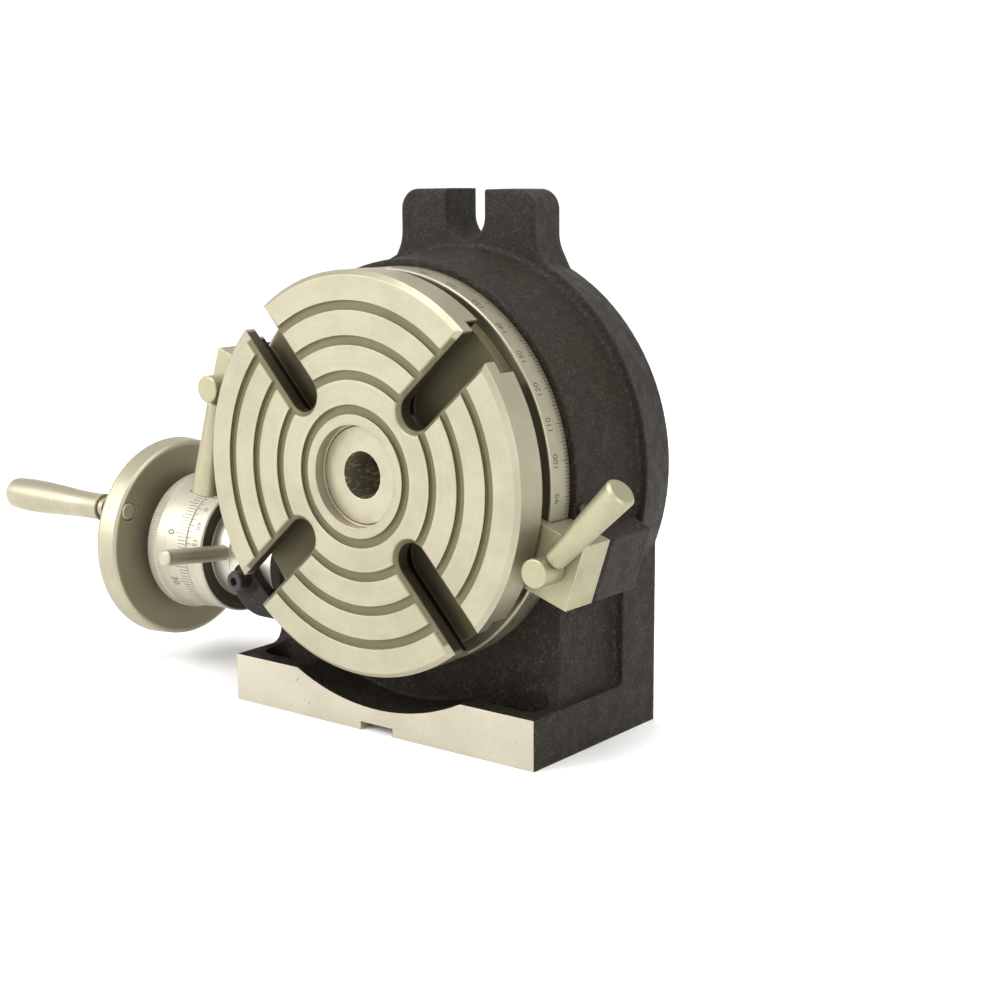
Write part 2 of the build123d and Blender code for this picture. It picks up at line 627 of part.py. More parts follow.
# ============================================================ worm shaft
first_turn_x = -LEAD * THREAD_TURNS / 2
with BuildPart() as worm_shaft:
    root_r = WORM_PITCH_R - 1.2 * MODULE
    with BuildSketch(WORM_SECTION):
        with BuildLine():
            Polyline(
                (-162, 0), (-162, 4.6), (-161.6, 5), (-150.9, 5), (-150.9, SHAFT_R), (-99.2, SHAFT_R),
                (-99.2, SLEEVE_BORE_R - 0.3), (-95.3, SLEEVE_BORE_R - 0.3), (-95.3, SHAFT_R),
                (-20, SHAFT_R), (-20, root_r), (18.6, root_r), (18.6, 6), (33, 6), (33, 0), close=True,
            )
        make_face()
    revolve(axis=WORM_AXIS)
    # slot for the handwheel's key
    with BuildSketch(across(-150.9, WORM_Y, WORM_Z)):
        with Locations((0, SHAFT_R - 0.6)):
            Rectangle(4, 3.8)
    extrude(amount=12, mode=Mode.SUBTRACT)
    with BuildLine():
        thread_path = Helix(
            LEAD, LEAD * THREAD_TURNS, root_r, center=(first_turn_x, WORM_Y, WORM_Z), direction=(1, 0, 0)
        )
    thread_out = thread_path @ 0 - Vector(first_turn_x, WORM_Y, WORM_Z)
    with BuildSketch(Plane(origin=thread_path @ 0, x_dir=thread_out, z_dir=thread_path % 0)):
        with BuildLine():
            Polyline(
                (-0.4, -LEAD / 4 - 1.6 * MODULE * flank), (-0.4, LEAD / 4 + 1.6 * MODULE * flank),
                (2.2 * MODULE, LEAD / 4 - MODULE * flank), (2.2 * MODULE, -LEAD / 4 + MODULE * flank),
                close=True,
            )
        make_face()
    sweep(path=thread_path, is_frenet=True)
save(worm_shaft.part, "worm_shaft")

# ============================================================ dial and handwheel
with BuildPart() as graduated_collar:
    with BuildSketch(WORM_SECTION):
        with BuildLine():
            Polyline(
                (DIAL_X0, HUB_R + 0.05), (DIAL_X0, 28.3), (DIAL_X0 + 0.6, 28.9), (DIAL_X0 + 4.2, 28.9),
                (DIAL_X0 + 4.8, 28.2), (DIAL_X1 - 0.4, 27.0), (DIAL_X1, 26.6), (DIAL_X1, HUB_R + 0.05),
                close=True,
            )
        make_face()
    revolve(axis=WORM_AXIS)
    # groove for the friction spring
    with BuildSketch(WORM_SECTION):
        with Locations(((DIAL_X0 + DIAL_X1) / 2, HUB_R + 1)):
            Rectangle(4, 2.2)
    revolve(axis=WORM_AXIS, mode=Mode.SUBTRACT)
save(graduated_collar.part, "graduated_collar")

with BuildPart() as dial_spring:
    spring_x = (DIAL_X0 + DIAL_X1) / 2 - 1.6
    with BuildSketch(across(spring_x, WORM_Y, WORM_Z)):
        Circle(HUB_R + 1.6)
        Circle(HUB_R + 0.05, mode=Mode.SUBTRACT)
        with Locations((0, HUB_R)):
            Rectangle(3, 6, mode=Mode.SUBTRACT)
    extrude(amount=3.2)
save(dial_spring.part, "dial_spring")

with BuildPart() as handwheel:
    with BuildSketch(WORM_SECTION):
        with BuildLine():
            Polyline(
                (WHEEL_X1, SHAFT_R + 0.02), (WHEEL_X0, SHAFT_R + 0.02), (WHEEL_X0, 17), (WHEEL_X0 + 4, 19),
                (WHEEL_X0 + 4, 28), (WHEEL_X0, 30), (WHEEL_X0, HANDWHEEL_R - 2.5),
                (WHEEL_X0 + 2.5, HANDWHEEL_R), (WHEEL_X1 - 1, HANDWHEEL_R - 0.8),
                (WHEEL_X1, HANDWHEEL_R - 1.8), (WHEEL_X1, HUB_R), (-113, HUB_R), (-113, SHAFT_R + 0.02),
                close=True,
            )
        make_face()
        fillet(vertices().group_by(Axis.Y)[-1], 2)
    revolve(axis=WORM_AXIS)
    # seat for the handle's spindle, wider where its end is riveted over
    with BuildSketch(across(WHEEL_X0 - 1, HANDLE_Y, HANDLE_Z)):
        Circle(3.5)
    extrude(amount=20, mode=Mode.SUBTRACT)
    with BuildSketch(across(WHEEL_X1, HANDLE_Y, HANDLE_Z)):
        Circle(3.9)
    extrude(amount=-1.6, mode=Mode.SUBTRACT)
    # keyway in the bore
    with BuildSketch(across(WHEEL_X0, WORM_Y, WORM_Z)):
        with Locations((0, SHAFT_R)):
            Rectangle(4, 4)
    extrude(amount=12.1, mode=Mode.SUBTRACT)
save(handwheel.part, "handwheel")

with BuildPart() as handwheel_key:
    with BuildSketch(across(-150.8, WORM_Y, WORM_Z)):
        with Locations((0, SHAFT_R - 0.3)):
            Rectangle(3.95, 3.9)
    extrude(amount=11.7)
save(handwheel_key.part, "handwheel_key")

with BuildPart() as handwheel_washer:
    with BuildSketch(across(WHEEL_X0 - 0.02, WORM_Y, WORM_Z)):
        Circle(10.5)
        Circle(5.1, mode=Mode.SUBTRACT)
    extrude(amount=-2)
save(handwheel_washer.part, "handwheel_washer")

with BuildPart() as handwheel_nut:
    with BuildSketch(across(WHEEL_X0 - 2.04, WORM_Y, WORM_Z)):
        RegularPolygon(8.5, 6, major_radius=False)
        Circle(5.02, mode=Mode.SUBTRACT)
    extrude(amount=-7.5)
    with BuildSketch(WORM_SECTION):
        with BuildLine():
            Polyline((WHEEL_X0 - 9.6, 8.6), (WHEEL_X0 - 9.6, 12), (WHEEL_X0 - 7.8, 12), close=True)
        make_face()
    revolve(axis=WORM_AXIS, mode=Mode.SUBTRACT)
save(handwheel_nut.part, "handwheel_nut")

with BuildPart() as handle_spindle:
    with BuildSketch(HANDLE_SECTION):
        with BuildLine():
            Polyline(
                (-206, 0), (-206, 3), (-153.6, 3), (-153.6, 4.6), (WHEEL_X0 - 0.02, 4.6),
                (WHEEL_X0 - 0.02, 3.45), (WHEEL_X1 - 1.7, 3.45), (WHEEL_X1 - 1.55, 3.85),
                (WHEEL_X1 - 0.2, 3.6), (WHEEL_X1 + 0.3, 3), (WHEEL_X1 + 0.3, 0), close=True,
            )
        make_face()
    revolve(axis=HANDLE_AXIS)
save(handle_spindle.part, "handle_spindle")

with BuildPart() as handle_grip:
    with BuildSketch(HANDLE_SECTION):
        with BuildLine():
            Line((-206.5, 0), (-213.5, 0))
            Line((-213.5, 0), (-213.5, 4.4))
            RadiusArc((-213.5, 4.4), (-211, 6.7), 2.6)
            Spline((-211, 6.7), (-200, 7.1), (-176, 6.1), (-160, 5.6), (-154.2, 5.8))
            Polyline((-154.2, 5.8), (-154, 5.2), (-154, 3.05), (-206.5, 3.05), (-206.5, 0))
        make_face()
    revolve(axis=HANDLE_AXIS)
save(handle_grip.part, "handle_grip")

# ============================================================ rim clamps
for side in ("right", "left"):
    with BuildPart() as clamp_block:
        with BuildSketch(clamp_plane(BLOCK_FRONT_Y, side)):
            with Locations(((CLAMP_OUTER + 70) / 2, 0)):
                Rectangle(CLAMP_OUTER - 70, 2 * CLAMP_HALF_W)
            Circle(CLAMP_GROOVE_R + 0.8, mode=Mode.SUBTRACT)
        extrude(amount=BLOCK_FRONT_Y - BLOCK_BACK_Y)
        # behind its lip the block stands clear of the graduated rim
        with BuildSketch(upright(RIM_FRONT_Y - 0.35, z=AXIS_Z)):
            Circle(TABLE_R + 0.7)
        extrude(amount=-20, mode=Mode.SUBTRACT)
        with BuildSketch(clamp_plane(BLOCK_FRONT_Y - 1, side)):
            with Locations((CLAMP_R, 0)):
                Circle(STUD_THREAD_R + 0.05)
        extrude(amount=-20, mode=Mode.SUBTRACT)
    save(clamp_block.part, f"clamp_block_{side}")

    stud_x, stud_z = clamp_centre(side)
    lever_turn = radians(LEVER_ANGLES[side])
    lever_out = Vector(cos(lever_turn), 0, sin(lever_turn))
    lever_root = Vector(stud_x, LEVER_Y, stud_z)
    lever_plane = Plane(origin=lever_root, x_dir=(0, -1, 0), z_dir=lever_out)
    with BuildPart() as clamp_stud:
        with BuildSketch(upright(STUD_FRONT_Y, stud_x, stud_z)):
            Circle(STUD_R)
        extrude(amount=STUD_FRONT_Y - BLOCK_FRONT_Y + 0.3)
        chamfer(faces().sort_by(Axis.Y)[0].edges(), 0.4)
        with BuildSketch(upright(BLOCK_FRONT_Y - 0.3, stud_x, stud_z)):
            Circle(STUD_THREAD_R)
        extrude(amount=BLOCK_FRONT_Y - 0.3 - 5.5)
        with BuildSketch(lever_plane):
            Circle(2.55)
        extrude(amount=8, mode=Mode.SUBTRACT)
    save(clamp_stud.part, f"clamp_stud_{side}")

    lever_section = Plane(origin=lever_root, x_dir=lever_out, z_dir=(0, -1, 0))
    with BuildPart() as clamp_lever:
        with BuildSketch(lever_section):
            with BuildLine():
                Polyline(
                    (0.3, 0), (0.3, 2.5), (STUD_R + 0.1, 2.5), (STUD_R + 0.1, 3.2),
                    (STUD_R + 1.2, 4.0), (LEVER_LENGTH - 0.9, 5.7), (LEVER_LENGTH, 4.8),
                    (LEVER_LENGTH, 0), close=True,
                )
            make_face()
        revolve(axis=Axis(lever_root, lever_out))
    save(clamp_lever.part, f"clamp_lever_{side}")

# ============================================================ locating keys
for place, z in KEY_ZS.items():
    with BuildPart() as locating_key:
        with BuildSketch(upright(FOOT_HALF_Y - KEYWAY_DEPTH + 0.02, z=z)):
            RectangleRounded(KEYWAY_W - 0.04, KEY_LENGTH, 2)
        extrude(amount=-KEY_THICK)
        chamfer(faces().sort_by(Axis.Y)[-1].edges(), 0.5)
        with BuildSketch(upright(FOOT_HALF_Y - KEYWAY_DEPTH, z=z)):
            Circle(3.3)
        extrude(amount=-KEY_THICK - 1, mode=Mode.SUBTRACT)
        with BuildSketch(upright(FOOT_HALF_Y - KEYWAY_DEPTH + KEY_THICK, z=z)):
            Circle(5.6)
        extrude(amount=6.3, mode=Mode.SUBTRACT)
    save(locating_key.part, f"locating_key_{place}")

with BuildPart() as key_screws:
    seat_y = FOOT_HALF_Y - KEYWAY_DEPTH + KEY_THICK - 6.3
    for z in KEY_ZS.values():
        with BuildSketch(upright(seat_y + 0.02, z=z)):
            Circle(5)
        extrude(amount=-6)
        with BuildSketch(upright(seat_y + 6.02, z=z)):
            RegularPolygon(2.9, 6)
        extrude(amount=3, mode=Mode.SUBTRACT)
        with BuildSketch(upright(seat_y + 0.02, z=z)):
            Circle(3)
        extrude(amount=14)
save(key_screws.part, "key_screws")
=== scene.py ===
"""Looks for a 150 mm rotary table: its graduations, its knurls, every finish and the stage."""

import math

import bmesh
import bpy
from bpy.props import FloatProperty, FloatVectorProperty, PointerProperty
from mathutils import Matrix, Vector


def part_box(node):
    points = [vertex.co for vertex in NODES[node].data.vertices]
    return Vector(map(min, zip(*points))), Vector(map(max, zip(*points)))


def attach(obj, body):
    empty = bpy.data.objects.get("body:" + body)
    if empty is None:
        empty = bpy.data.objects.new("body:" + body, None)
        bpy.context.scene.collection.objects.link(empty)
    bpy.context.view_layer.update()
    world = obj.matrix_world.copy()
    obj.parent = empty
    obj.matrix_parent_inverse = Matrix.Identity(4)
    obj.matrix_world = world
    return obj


bl_info = {
    "name": "Rotary Table Looks",
    "version": (1, 0, 0),
    "blender": (4, 5, 0),
    "location": "View3D > Sidebar > Rotary Table",
    "description": "Graduations, knurls, finishes and a stage for a rotary table",
    "category": "Object",
}

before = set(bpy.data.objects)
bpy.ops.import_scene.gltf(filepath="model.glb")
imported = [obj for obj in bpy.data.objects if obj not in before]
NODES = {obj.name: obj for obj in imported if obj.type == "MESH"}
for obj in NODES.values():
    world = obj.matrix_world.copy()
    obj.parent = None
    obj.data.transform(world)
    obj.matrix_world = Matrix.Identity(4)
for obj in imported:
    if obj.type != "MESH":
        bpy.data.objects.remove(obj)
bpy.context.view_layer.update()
MM = 0.001


# ============================================================ places, read from the frame
def middle(node):
    low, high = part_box(node)
    return (low + high) / 2


TABLE_LOW, TABLE_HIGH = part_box("table_plate")
TABLE_AXIS = Vector((0, 0, middle("table_plate").z))
TABLE_R = (TABLE_HIGH.x - TABLE_LOW.x) / 2
FACE_Y = TABLE_LOW.y
RIM_FRONT_Y = FACE_Y + 19.7 * MM
RIM_BACK_Y = FACE_Y + 31.0 * MM
RIM_R = TABLE_R - 0.2 * MM

DIAL_LOW, DIAL_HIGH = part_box("graduated_collar")
WORM_AXIS = Vector((0, middle("graduated_collar").y, middle("graduated_collar").z))
DIAL_R = (DIAL_HIGH.z - DIAL_LOW.z) / 2
VERNIER_LOW, VERNIER_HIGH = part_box("vernier_ring")
HANDWHEEL_LOW, HANDWHEEL_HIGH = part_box("handwheel")
HANDWHEEL_R = (HANDWHEEL_HIGH.z - HANDWHEEL_LOW.z) / 2
WEB_X = HANDWHEEL_LOW.x + 12.2 * MM
TABLE_TURN = -2.5  # degrees that the table stands round from its zero mark
DIAL_ZERO = 18.8  # degrees that the dial's zero stands above the front
VERNIER_ZERO = 44.0
VERNIER_STEP = 5.5
DIAL_TAPER = 1.2 / 16.2
CASTING_LOW, CASTING_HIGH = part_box("base_casting")


# ============================================================ settings a user would change
class RotaryTableSizes(bpy.types.PropertyGroup):
    """Sizes of the graduations and knurls."""

    line_width: FloatProperty(
        name="Line width", description="Width of an engraved line", default=0.24 * MM, unit="LENGTH"
    )
    mark_height: FloatProperty(
        name="Mark height", description="How far the filled marks stand proud",
        default=0.025 * MM, unit="LENGTH",
    )
    rim_digit: FloatProperty(
        name="Rim digit", description="Height of the digits on the rim", default=2.7 * MM, unit="LENGTH"
    )
    dial_digit: FloatProperty(
        name="Dial digit", description="Height of the digits on the dial", default=3.4 * MM, unit="LENGTH"
    )
    vernier_digit: FloatProperty(
        name="Vernier digit", description="Height of the digits on the vernier",
        default=2.5 * MM, unit="LENGTH",
    )
    knurl_depth: FloatProperty(
        name="Knurl depth", description="How far the knurl stands proud", default=0.26 * MM, unit="LENGTH"
    )


class RotaryTableColours(bpy.types.PropertyGroup):
    """Base colours of the finishes."""

    iron: FloatVectorProperty(
        name="Machined iron", description="Turned faces of the table", subtype="COLOR",
        default=(0.40, 0.37, 0.275), min=0, max=1,
    )
    steel: FloatVectorProperty(
        name="Clamp steel", description="Clamp blocks, studs and levers", subtype="COLOR",
        default=(0.36, 0.335, 0.225), min=0, max=1,
    )
    dial: FloatVectorProperty(
        name="Dial", description="Satin chromed dial and vernier", subtype="COLOR",
        default=(0.49, 0.465, 0.38), min=0, max=1,
    )
    # Painted shade: this darker colour stands in for the shade in the ring grooves and in the recess under
    # the rim.
    groove: FloatVectorProperty(
        name="Grooves", description="Turned grooves and unpolished webs", subtype="COLOR",
        default=(0.15, 0.135, 0.08), min=0, max=1,
    )
    web: FloatVectorProperty(
        name="Wheel web", description="Unpolished web of the handwheel", subtype="COLOR",
        default=(0.27, 0.245, 0.165), min=0, max=1,
    )
    # Painted shade: the milled walls at the mouths of the T-slots are darkened for the shade that falls in
    # them.
    mouth: FloatVectorProperty(
        name="Slot mouths", description="Milled walls at the mouths of the T-slots", subtype="COLOR",
        default=(0.085, 0.076, 0.050), min=0, max=1,
    )
    # Painted shade: the insides of the T-slots are near black for the shade that falls deep in them.
    slot: FloatVectorProperty(
        name="Slots", description="Insides of the T-slots", subtype="COLOR",
        default=(0.022, 0.018, 0.010), min=0, max=1,
    )
    paint: FloatVectorProperty(
        name="Casting paint", description="Dark paint on the rough casting", subtype="COLOR",
        default=(0.0085, 0.0060, 0.0032), min=0, max=1,
    )
    speckle: FloatVectorProperty(
        name="Paint speckle", description="Lighter grains in the paint", subtype="COLOR",
        default=(0.048, 0.038, 0.025), min=0, max=1,
    )
    oxide: FloatVectorProperty(
        name="Black oxide", description="Keys and screws", subtype="COLOR",
        default=(0.022, 0.020, 0.018), min=0, max=1,
    )
    bronze: FloatVectorProperty(
        name="Bronze", description="Bushes and worm wheel", subtype="COLOR",
        default=(0.55, 0.36, 0.16), min=0, max=1,
    )


class RotaryTableStage(bpy.types.PropertyGroup):
    """Strength of the studio lights."""

    key: FloatProperty(
        name="Key", description="Soft light from the front left", default=34.0, unit="POWER"
    )
    top: FloatProperty(name="Top", description="Soft light from above", default=26.0, unit="POWER")
    fill: FloatProperty(name="Fill", description="Soft light from the right", default=12.0, unit="POWER")
    sky: FloatProperty(name="Sky", description="Strength of the surroundings", default=0.75)


# ============================================================ node helpers
def put(tree, kind, links=None, **settings):
    """Adds a node; links maps an input's name or number to a socket or a value."""
    node = tree.nodes.new(kind)
    for name, value in settings.items():
        setattr(node, name, value)
    for name, value in (links or {}).items():
        if isinstance(value, bpy.types.NodeSocket):
            tree.links.new(value, node.inputs[name])
        else:
            node.inputs[name].default_value = value
    return node


def calc(tree, operation, a, b=0.0, clamp=False):
    node = put(tree, "ShaderNodeMath", {0: a, 1: b}, operation=operation, use_clamp=clamp)
    return node.outputs[0]


def blend(tree, factor, a, b, blend_type="MIX"):
    """Mixes two colours."""
    node = put(tree, "ShaderNodeMix", data_type="RGBA", blend_type=blend_type)
    for index, value in ((0, factor), (6, a), (7, b)):
        if isinstance(value, bpy.types.NodeSocket):
            tree.links.new(value, node.inputs[index])
        elif index:
            node.inputs[index].default_value = (*tuple(value)[:3], 1)
        else:
            node.inputs[index].default_value = value
    return node.outputs[2]


def smooth(tree, value, start, end):
    """0 before start, 1 after end and a smooth step between; start may be above end."""
    node = put(
        tree, "ShaderNodeMapRange", {"Value": value, "From Min": start, "From Max": end},
        interpolation_type="SMOOTHSTEP",
    )
    return node.outputs[0]


def noise(tree, vector, scale, detail=2.0, roughness=0.5):
    links = {"Vector": vector, "Scale": scale, "Detail": detail, "Roughness": roughness}
    return put(tree, "ShaderNodeTexNoise", links).outputs["Fac"]


def band(tree, value, low, high, soft):
    """1 where value lies between low and high."""
    return calc(tree, "MULTIPLY", smooth(tree, value, low - soft, low + soft),
                smooth(tree, value, high + soft, high - soft))


def object_place(tree, centre=(0, 0, 0), turn=(0, 0, 0)):
    """Object coordinates, moved so that centre is at their origin and then turned."""
    where = put(tree, "ShaderNodeTexCoord").outputs["Object"]
    moved = put(tree, "ShaderNodeVectorMath", {0: where, 1: centre}, operation="SUBTRACT").outputs[0]
    if not any(turn):
        return moved
    return put(tree, "ShaderNodeMapping", {"Vector": moved, "Rotation": turn}).outputs[0]


def split(tree, vector):
    return put(tree, "ShaderNodeSeparateXYZ", {0: vector}).outputs


def radius_of(tree, a, b):
    """Distance from the axis that a and b are measured from."""
    squares = calc(tree, "ADD", calc(tree, "MULTIPLY", a, a), calc(tree, "MULTIPLY", b, b))
    return calc(tree, "SQRT", squares)


# ============================================================ shared effects, as node groups
def new_group(name, inputs, outputs):
    """A shader node group with named sockets; returns the group and its two end nodes."""
    group = bpy.data.node_groups.new(name, "ShaderNodeTree")
    for socket, kind, default in inputs:
        made = group.interface.new_socket(socket, in_out="INPUT", socket_type=kind)
        if default is not None:
            made.default_value = default
    for socket, kind in outputs:
        group.interface.new_socket(socket, in_out="OUTPUT", socket_type=kind)
    return group, group.nodes.new("NodeGroupInput").outputs, group.nodes.new("NodeGroupOutput").inputs


def edge_wear_group():
    """Finds the sharp edges and gives a normal that rounds them."""
    group, source, result = new_group(
        "Edge Wear",
        [("Radius", "NodeSocketFloat", 0.4 * MM), ("Strength", "NodeSocketFloat", 2.5)],
        [("Mask", "NodeSocketFloat"), ("Normal", "NodeSocketVector")],
    )
    rounded = put(group, "ShaderNodeBevel", {"Radius": source["Radius"]}, samples=6).outputs[0]
    flat = put(group, "ShaderNodeNewGeometry").outputs["Normal"]
    likeness = put(group, "ShaderNodeVectorMath", {0: rounded, 1: flat}, operation="DOT_PRODUCT")
    apart = calc(group, "SUBTRACT", 1.0, likeness.outputs["Value"])
    mask = calc(group, "MULTIPLY", apart, source["Strength"], clamp=True)
    group.links.new(mask, result["Mask"])
    group.links.new(rounded, result["Normal"])
    return group


def turning_group():
    """Fine lines left by the lathe, round the axis that the vector's Z runs along."""
    group, source, result = new_group(
        "Turning Lines",
        [("Vector", "NodeSocketVector", None), ("Lines per metre", "NodeSocketFloat", 4200.0)],
        [("Height", "NodeSocketFloat"), ("Tone", "NodeSocketFloat")],
    )
    x, y, z = split(group, source["Vector"])
    out = calc(group, "ADD", radius_of(group, x, y), calc(group, "MULTIPLY", z, 1.31))
    track = calc(group, "MULTIPLY", out, source["Lines per metre"])
    fine = put(group, "ShaderNodeTexNoise", {"W": track, "Scale": 1.0, "Detail": 2.0},
               noise_dimensions="1D").outputs["Fac"]
    coarse = put(group, "ShaderNodeTexNoise", {"W": track, "Scale": 0.12, "Detail": 1.0},
                 noise_dimensions="1D").outputs["Fac"]
    both = calc(group, "ADD", calc(group, "MULTIPLY", fine, 0.65), calc(group, "MULTIPLY", coarse, 0.35))
    group.links.new(fine, result["Height"])
    group.links.new(both, result["Tone"])
    return group


def patina_group():
    """Slow stains and fine specks over bare metal."""
    group, source, result = new_group(
        "Patina",
        [("Vector", "NodeSocketVector", None), ("Scale", "NodeSocketFloat", 45.0)],
        [("Stain", "NodeSocketFloat"), ("Speck", "NodeSocketFloat"), ("Grain", "NodeSocketFloat")],
    )
    slow = noise(group, source["Vector"], source["Scale"], 4.0, 0.6)
    fine_scale = calc(group, "MULTIPLY", source["Scale"], 26.0)
    fine = noise(group, source["Vector"], fine_scale, 3.0, 0.6)
    grain = noise(group, source["Vector"], calc(group, "MULTIPLY", source["Scale"], 70.0), 2.0, 0.5)
    group.links.new(smooth(group, slow, 0.34, 0.68), result["Stain"])
    group.links.new(smooth(group, fine, 0.60, 0.74), result["Speck"])
    group.links.new(grain, result["Grain"])
    return group


def cast_skin_group():
    """The bumpy skin that a sand mould leaves, under thick paint."""
    group, source, result = new_group(
        "Cast Skin",
        [("Vector", "NodeSocketVector", None), ("Grains per metre", "NodeSocketFloat", 900.0)],
        [("Height", "NodeSocketFloat"), ("Speckle", "NodeSocketFloat"), ("Cloud", "NodeSocketFloat")],
    )
    vector, scale = source["Vector"], source["Grains per metre"]
    lumps = noise(group, vector, calc(group, "MULTIPLY", scale, 0.55), 3.0, 0.6)
    grains = put(group, "ShaderNodeTexVoronoi", {"Vector": vector, "Scale": scale},
                 feature="SMOOTH_F1").outputs["Distance"]
    pores = noise(group, vector, calc(group, "MULTIPLY", scale, 1.9), 2.0, 0.55)
    swell = noise(group, vector, calc(group, "MULTIPLY", scale, 0.10), 3.0, 0.5)
    height = calc(group, "SUBTRACT", lumps, calc(group, "MULTIPLY", grains, 0.45))
    height = calc(group, "ADD", height, calc(group, "MULTIPLY", pores, 0.35))
    height = calc(group, "ADD", height, calc(group, "MULTIPLY", swell, 1.2))
    group.links.new(height, result["Height"])
    peaks = calc(group, "ADD", lumps, calc(group, "MULTIPLY", pores, 0.6))
    group.links.new(smooth(group, peaks, 0.80, 1.02), result["Speckle"])
    group.links.new(smooth(group, swell, 0.36, 0.66), result["Cloud"])
    return group


def use_group(tree, name, **links):
    """Places a shared group; spaces in its socket names are written as underscores here."""
    node = put(tree, "ShaderNodeGroup", node_tree=bpy.data.node_groups[name])
    for socket, value in links.items():
        target = node.inputs[socket.replace("_", " ")]
        if isinstance(value, bpy.types.NodeSocket):
            tree.links.new(value, target)
        else:
            target.default_value = value
    return node.outputs


# ============================================================ materials
def start_material(name, **shader_values):
    """A material with a Principled shader whose constant values are set on its own sockets."""
    material = bpy.data.materials.new(name)
    material.use_nodes = True
    tree = material.node_tree
    shader = tree.nodes["Principled BSDF"]
    for socket, value in shader_values.items():
        shader.inputs[socket.replace("_", " ")].default_value = value
    return material, tree, shader


def bump(tree, height, distance, normal, strength=1.0):
    links = {"Height": height, "Distance": distance, "Strength": strength, "Normal": normal}
    return put(tree, "ShaderNodeBump", links).outputs[0]


def connect(tree, shader, **links):
    for socket, value in links.items():
        tree.links.new(value, shader.inputs[socket.replace("_", " ")])


def stained_metal(tree, place, base, stain_to=0.80, speck_to=0.55, scale=45.0):
    """A bare metal's colour with stains and specks; returns the colour and the patina."""
    patina = use_group(tree, "Patina", Vector=place, Scale=scale)
    stain = calc(tree, "MULTIPLY", patina["Stain"], 0.55)
    colour = blend(tree, stain, base, tuple(c * stain_to for c in base))
    speck = calc(tree, "MULTIPLY", patina["Speck"], 0.35)
    return blend(tree, speck, colour, tuple(c * speck_to for c in base)), patina


def turned_metal(name, base, centre, turn, lines=4200.0, rough=0.40, bump_size=0.006 * MM, metal=0.9,
                 dark_where=None, edge=0.35 * MM):
    """Lathe-turned metal round an axis; dark_where adds (mask, colour) layers from a function."""
    material, tree, shader = start_material(name, Metallic=metal)
    place = object_place(tree, centre, turn)
    lathe = use_group(tree, "Turning Lines", Vector=place, Lines_per_metre=lines)
    colour, patina = stained_metal(tree, place, base)
    tone = smooth(tree, lathe["Tone"], 0.25, 0.75)
    lines_colour = blend(tree, tone, tuple(c * 0.62 for c in base), (1, 1, 1))
    colour = blend(tree, 0.16, colour, lines_colour, "MULTIPLY")
    wear = use_group(tree, "Edge Wear", Radius=edge, Strength=2.2)
    roughness = calc(tree, "ADD", rough, calc(tree, "MULTIPLY", patina["Stain"], 0.10))
    # Each dark_where layer is either painted shade in a recess or on a shaded face, or a part's own darker
    # finish.
    if dark_where:
        for mask, dark, rougher in dark_where(tree):
            colour = blend(tree, mask, colour, dark)
            roughness = calc(tree, "ADD", roughness, calc(tree, "MULTIPLY", mask, rougher))
    # The edges are lightened: partly edge wear, partly a painted highlight where the edges would catch the
    # light.
    worn = calc(tree, "MULTIPLY", wear["Mask"], 0.45)
    colour = blend(tree, worn, colour, tuple(min(1.0, c * 1.35) for c in base))
    height = calc(tree, "ADD", lathe["Height"], calc(tree, "MULTIPLY", patina["Grain"], 0.5))
    connect(tree, shader, Base_Color=colour, Roughness=roughness,
            Normal=bump(tree, height, bump_size, wear["Normal"]))
    return material


ALONG_TABLE = (math.pi / 2, 0, 0)
ALONG_WORM = (0, -math.pi / 2, 0)


def table_grooves(tree):
    """Masks for the painted shade in the ring grooves, the T-slots and the recess under the rim that the
    clamps grip.
    """
    colours = bpy.context.scene.rotary_table_colours
    x, y, z = split(tree, object_place(tree, TABLE_AXIS))
    radius = radius_of(tree, x, z)
    below_face = smooth(tree, y, FACE_Y + 0.25 * MM, FACE_Y + 0.7 * MM)
    above_slots = smooth(tree, y, FACE_Y + 2.4 * MM, FACE_Y + 1.9 * MM)
    inside = smooth(tree, radius, TABLE_R - 4 * MM, TABLE_R - 5 * MM)
    past_bore = smooth(tree, radius, 20.2 * MM, 20.7 * MM)
    shallow = calc(tree, "MULTIPLY", below_face, above_slots)
    ring = calc(tree, "MULTIPLY", shallow, calc(tree, "MULTIPLY", inside, past_bore))
    deep = smooth(tree, y, FACE_Y + 1.7 * MM, FACE_Y + 2.6 * MM)
    slot = calc(tree, "MULTIPLY", deep, smooth(tree, radius, TABLE_R - 0.9 * MM, TABLE_R - 1.4 * MM))
    slot = calc(tree, "MULTIPLY", slot, smooth(tree, radius, 28 * MM, 29 * MM))
    slot = calc(tree, "MULTIPLY", slot, smooth(tree, y, RIM_FRONT_Y + 0.2 * MM, RIM_FRONT_Y - 0.2 * MM))
    neck = band(tree, y, FACE_Y + 14.6 * MM, RIM_FRONT_Y, 0.2 * MM)
    neck = calc(tree, "MULTIPLY", neck, smooth(tree, radius, TABLE_R - 2 * MM, TABLE_R - 3 * MM))
    undercut = calc(tree, "MULTIPLY", slot, smooth(tree, y, FACE_Y + 6.2 * MM, FACE_Y + 7.2 * MM))
    # Painted shade: each layer darkens a recess of the table, where shade falls.
    return (
        (ring, colours.groove, 0.12),
        (slot, colours.mouth, 0.10),
        (undercut, colours.slot, 0.05),
        (neck, colours.groove, 0.10),
    )


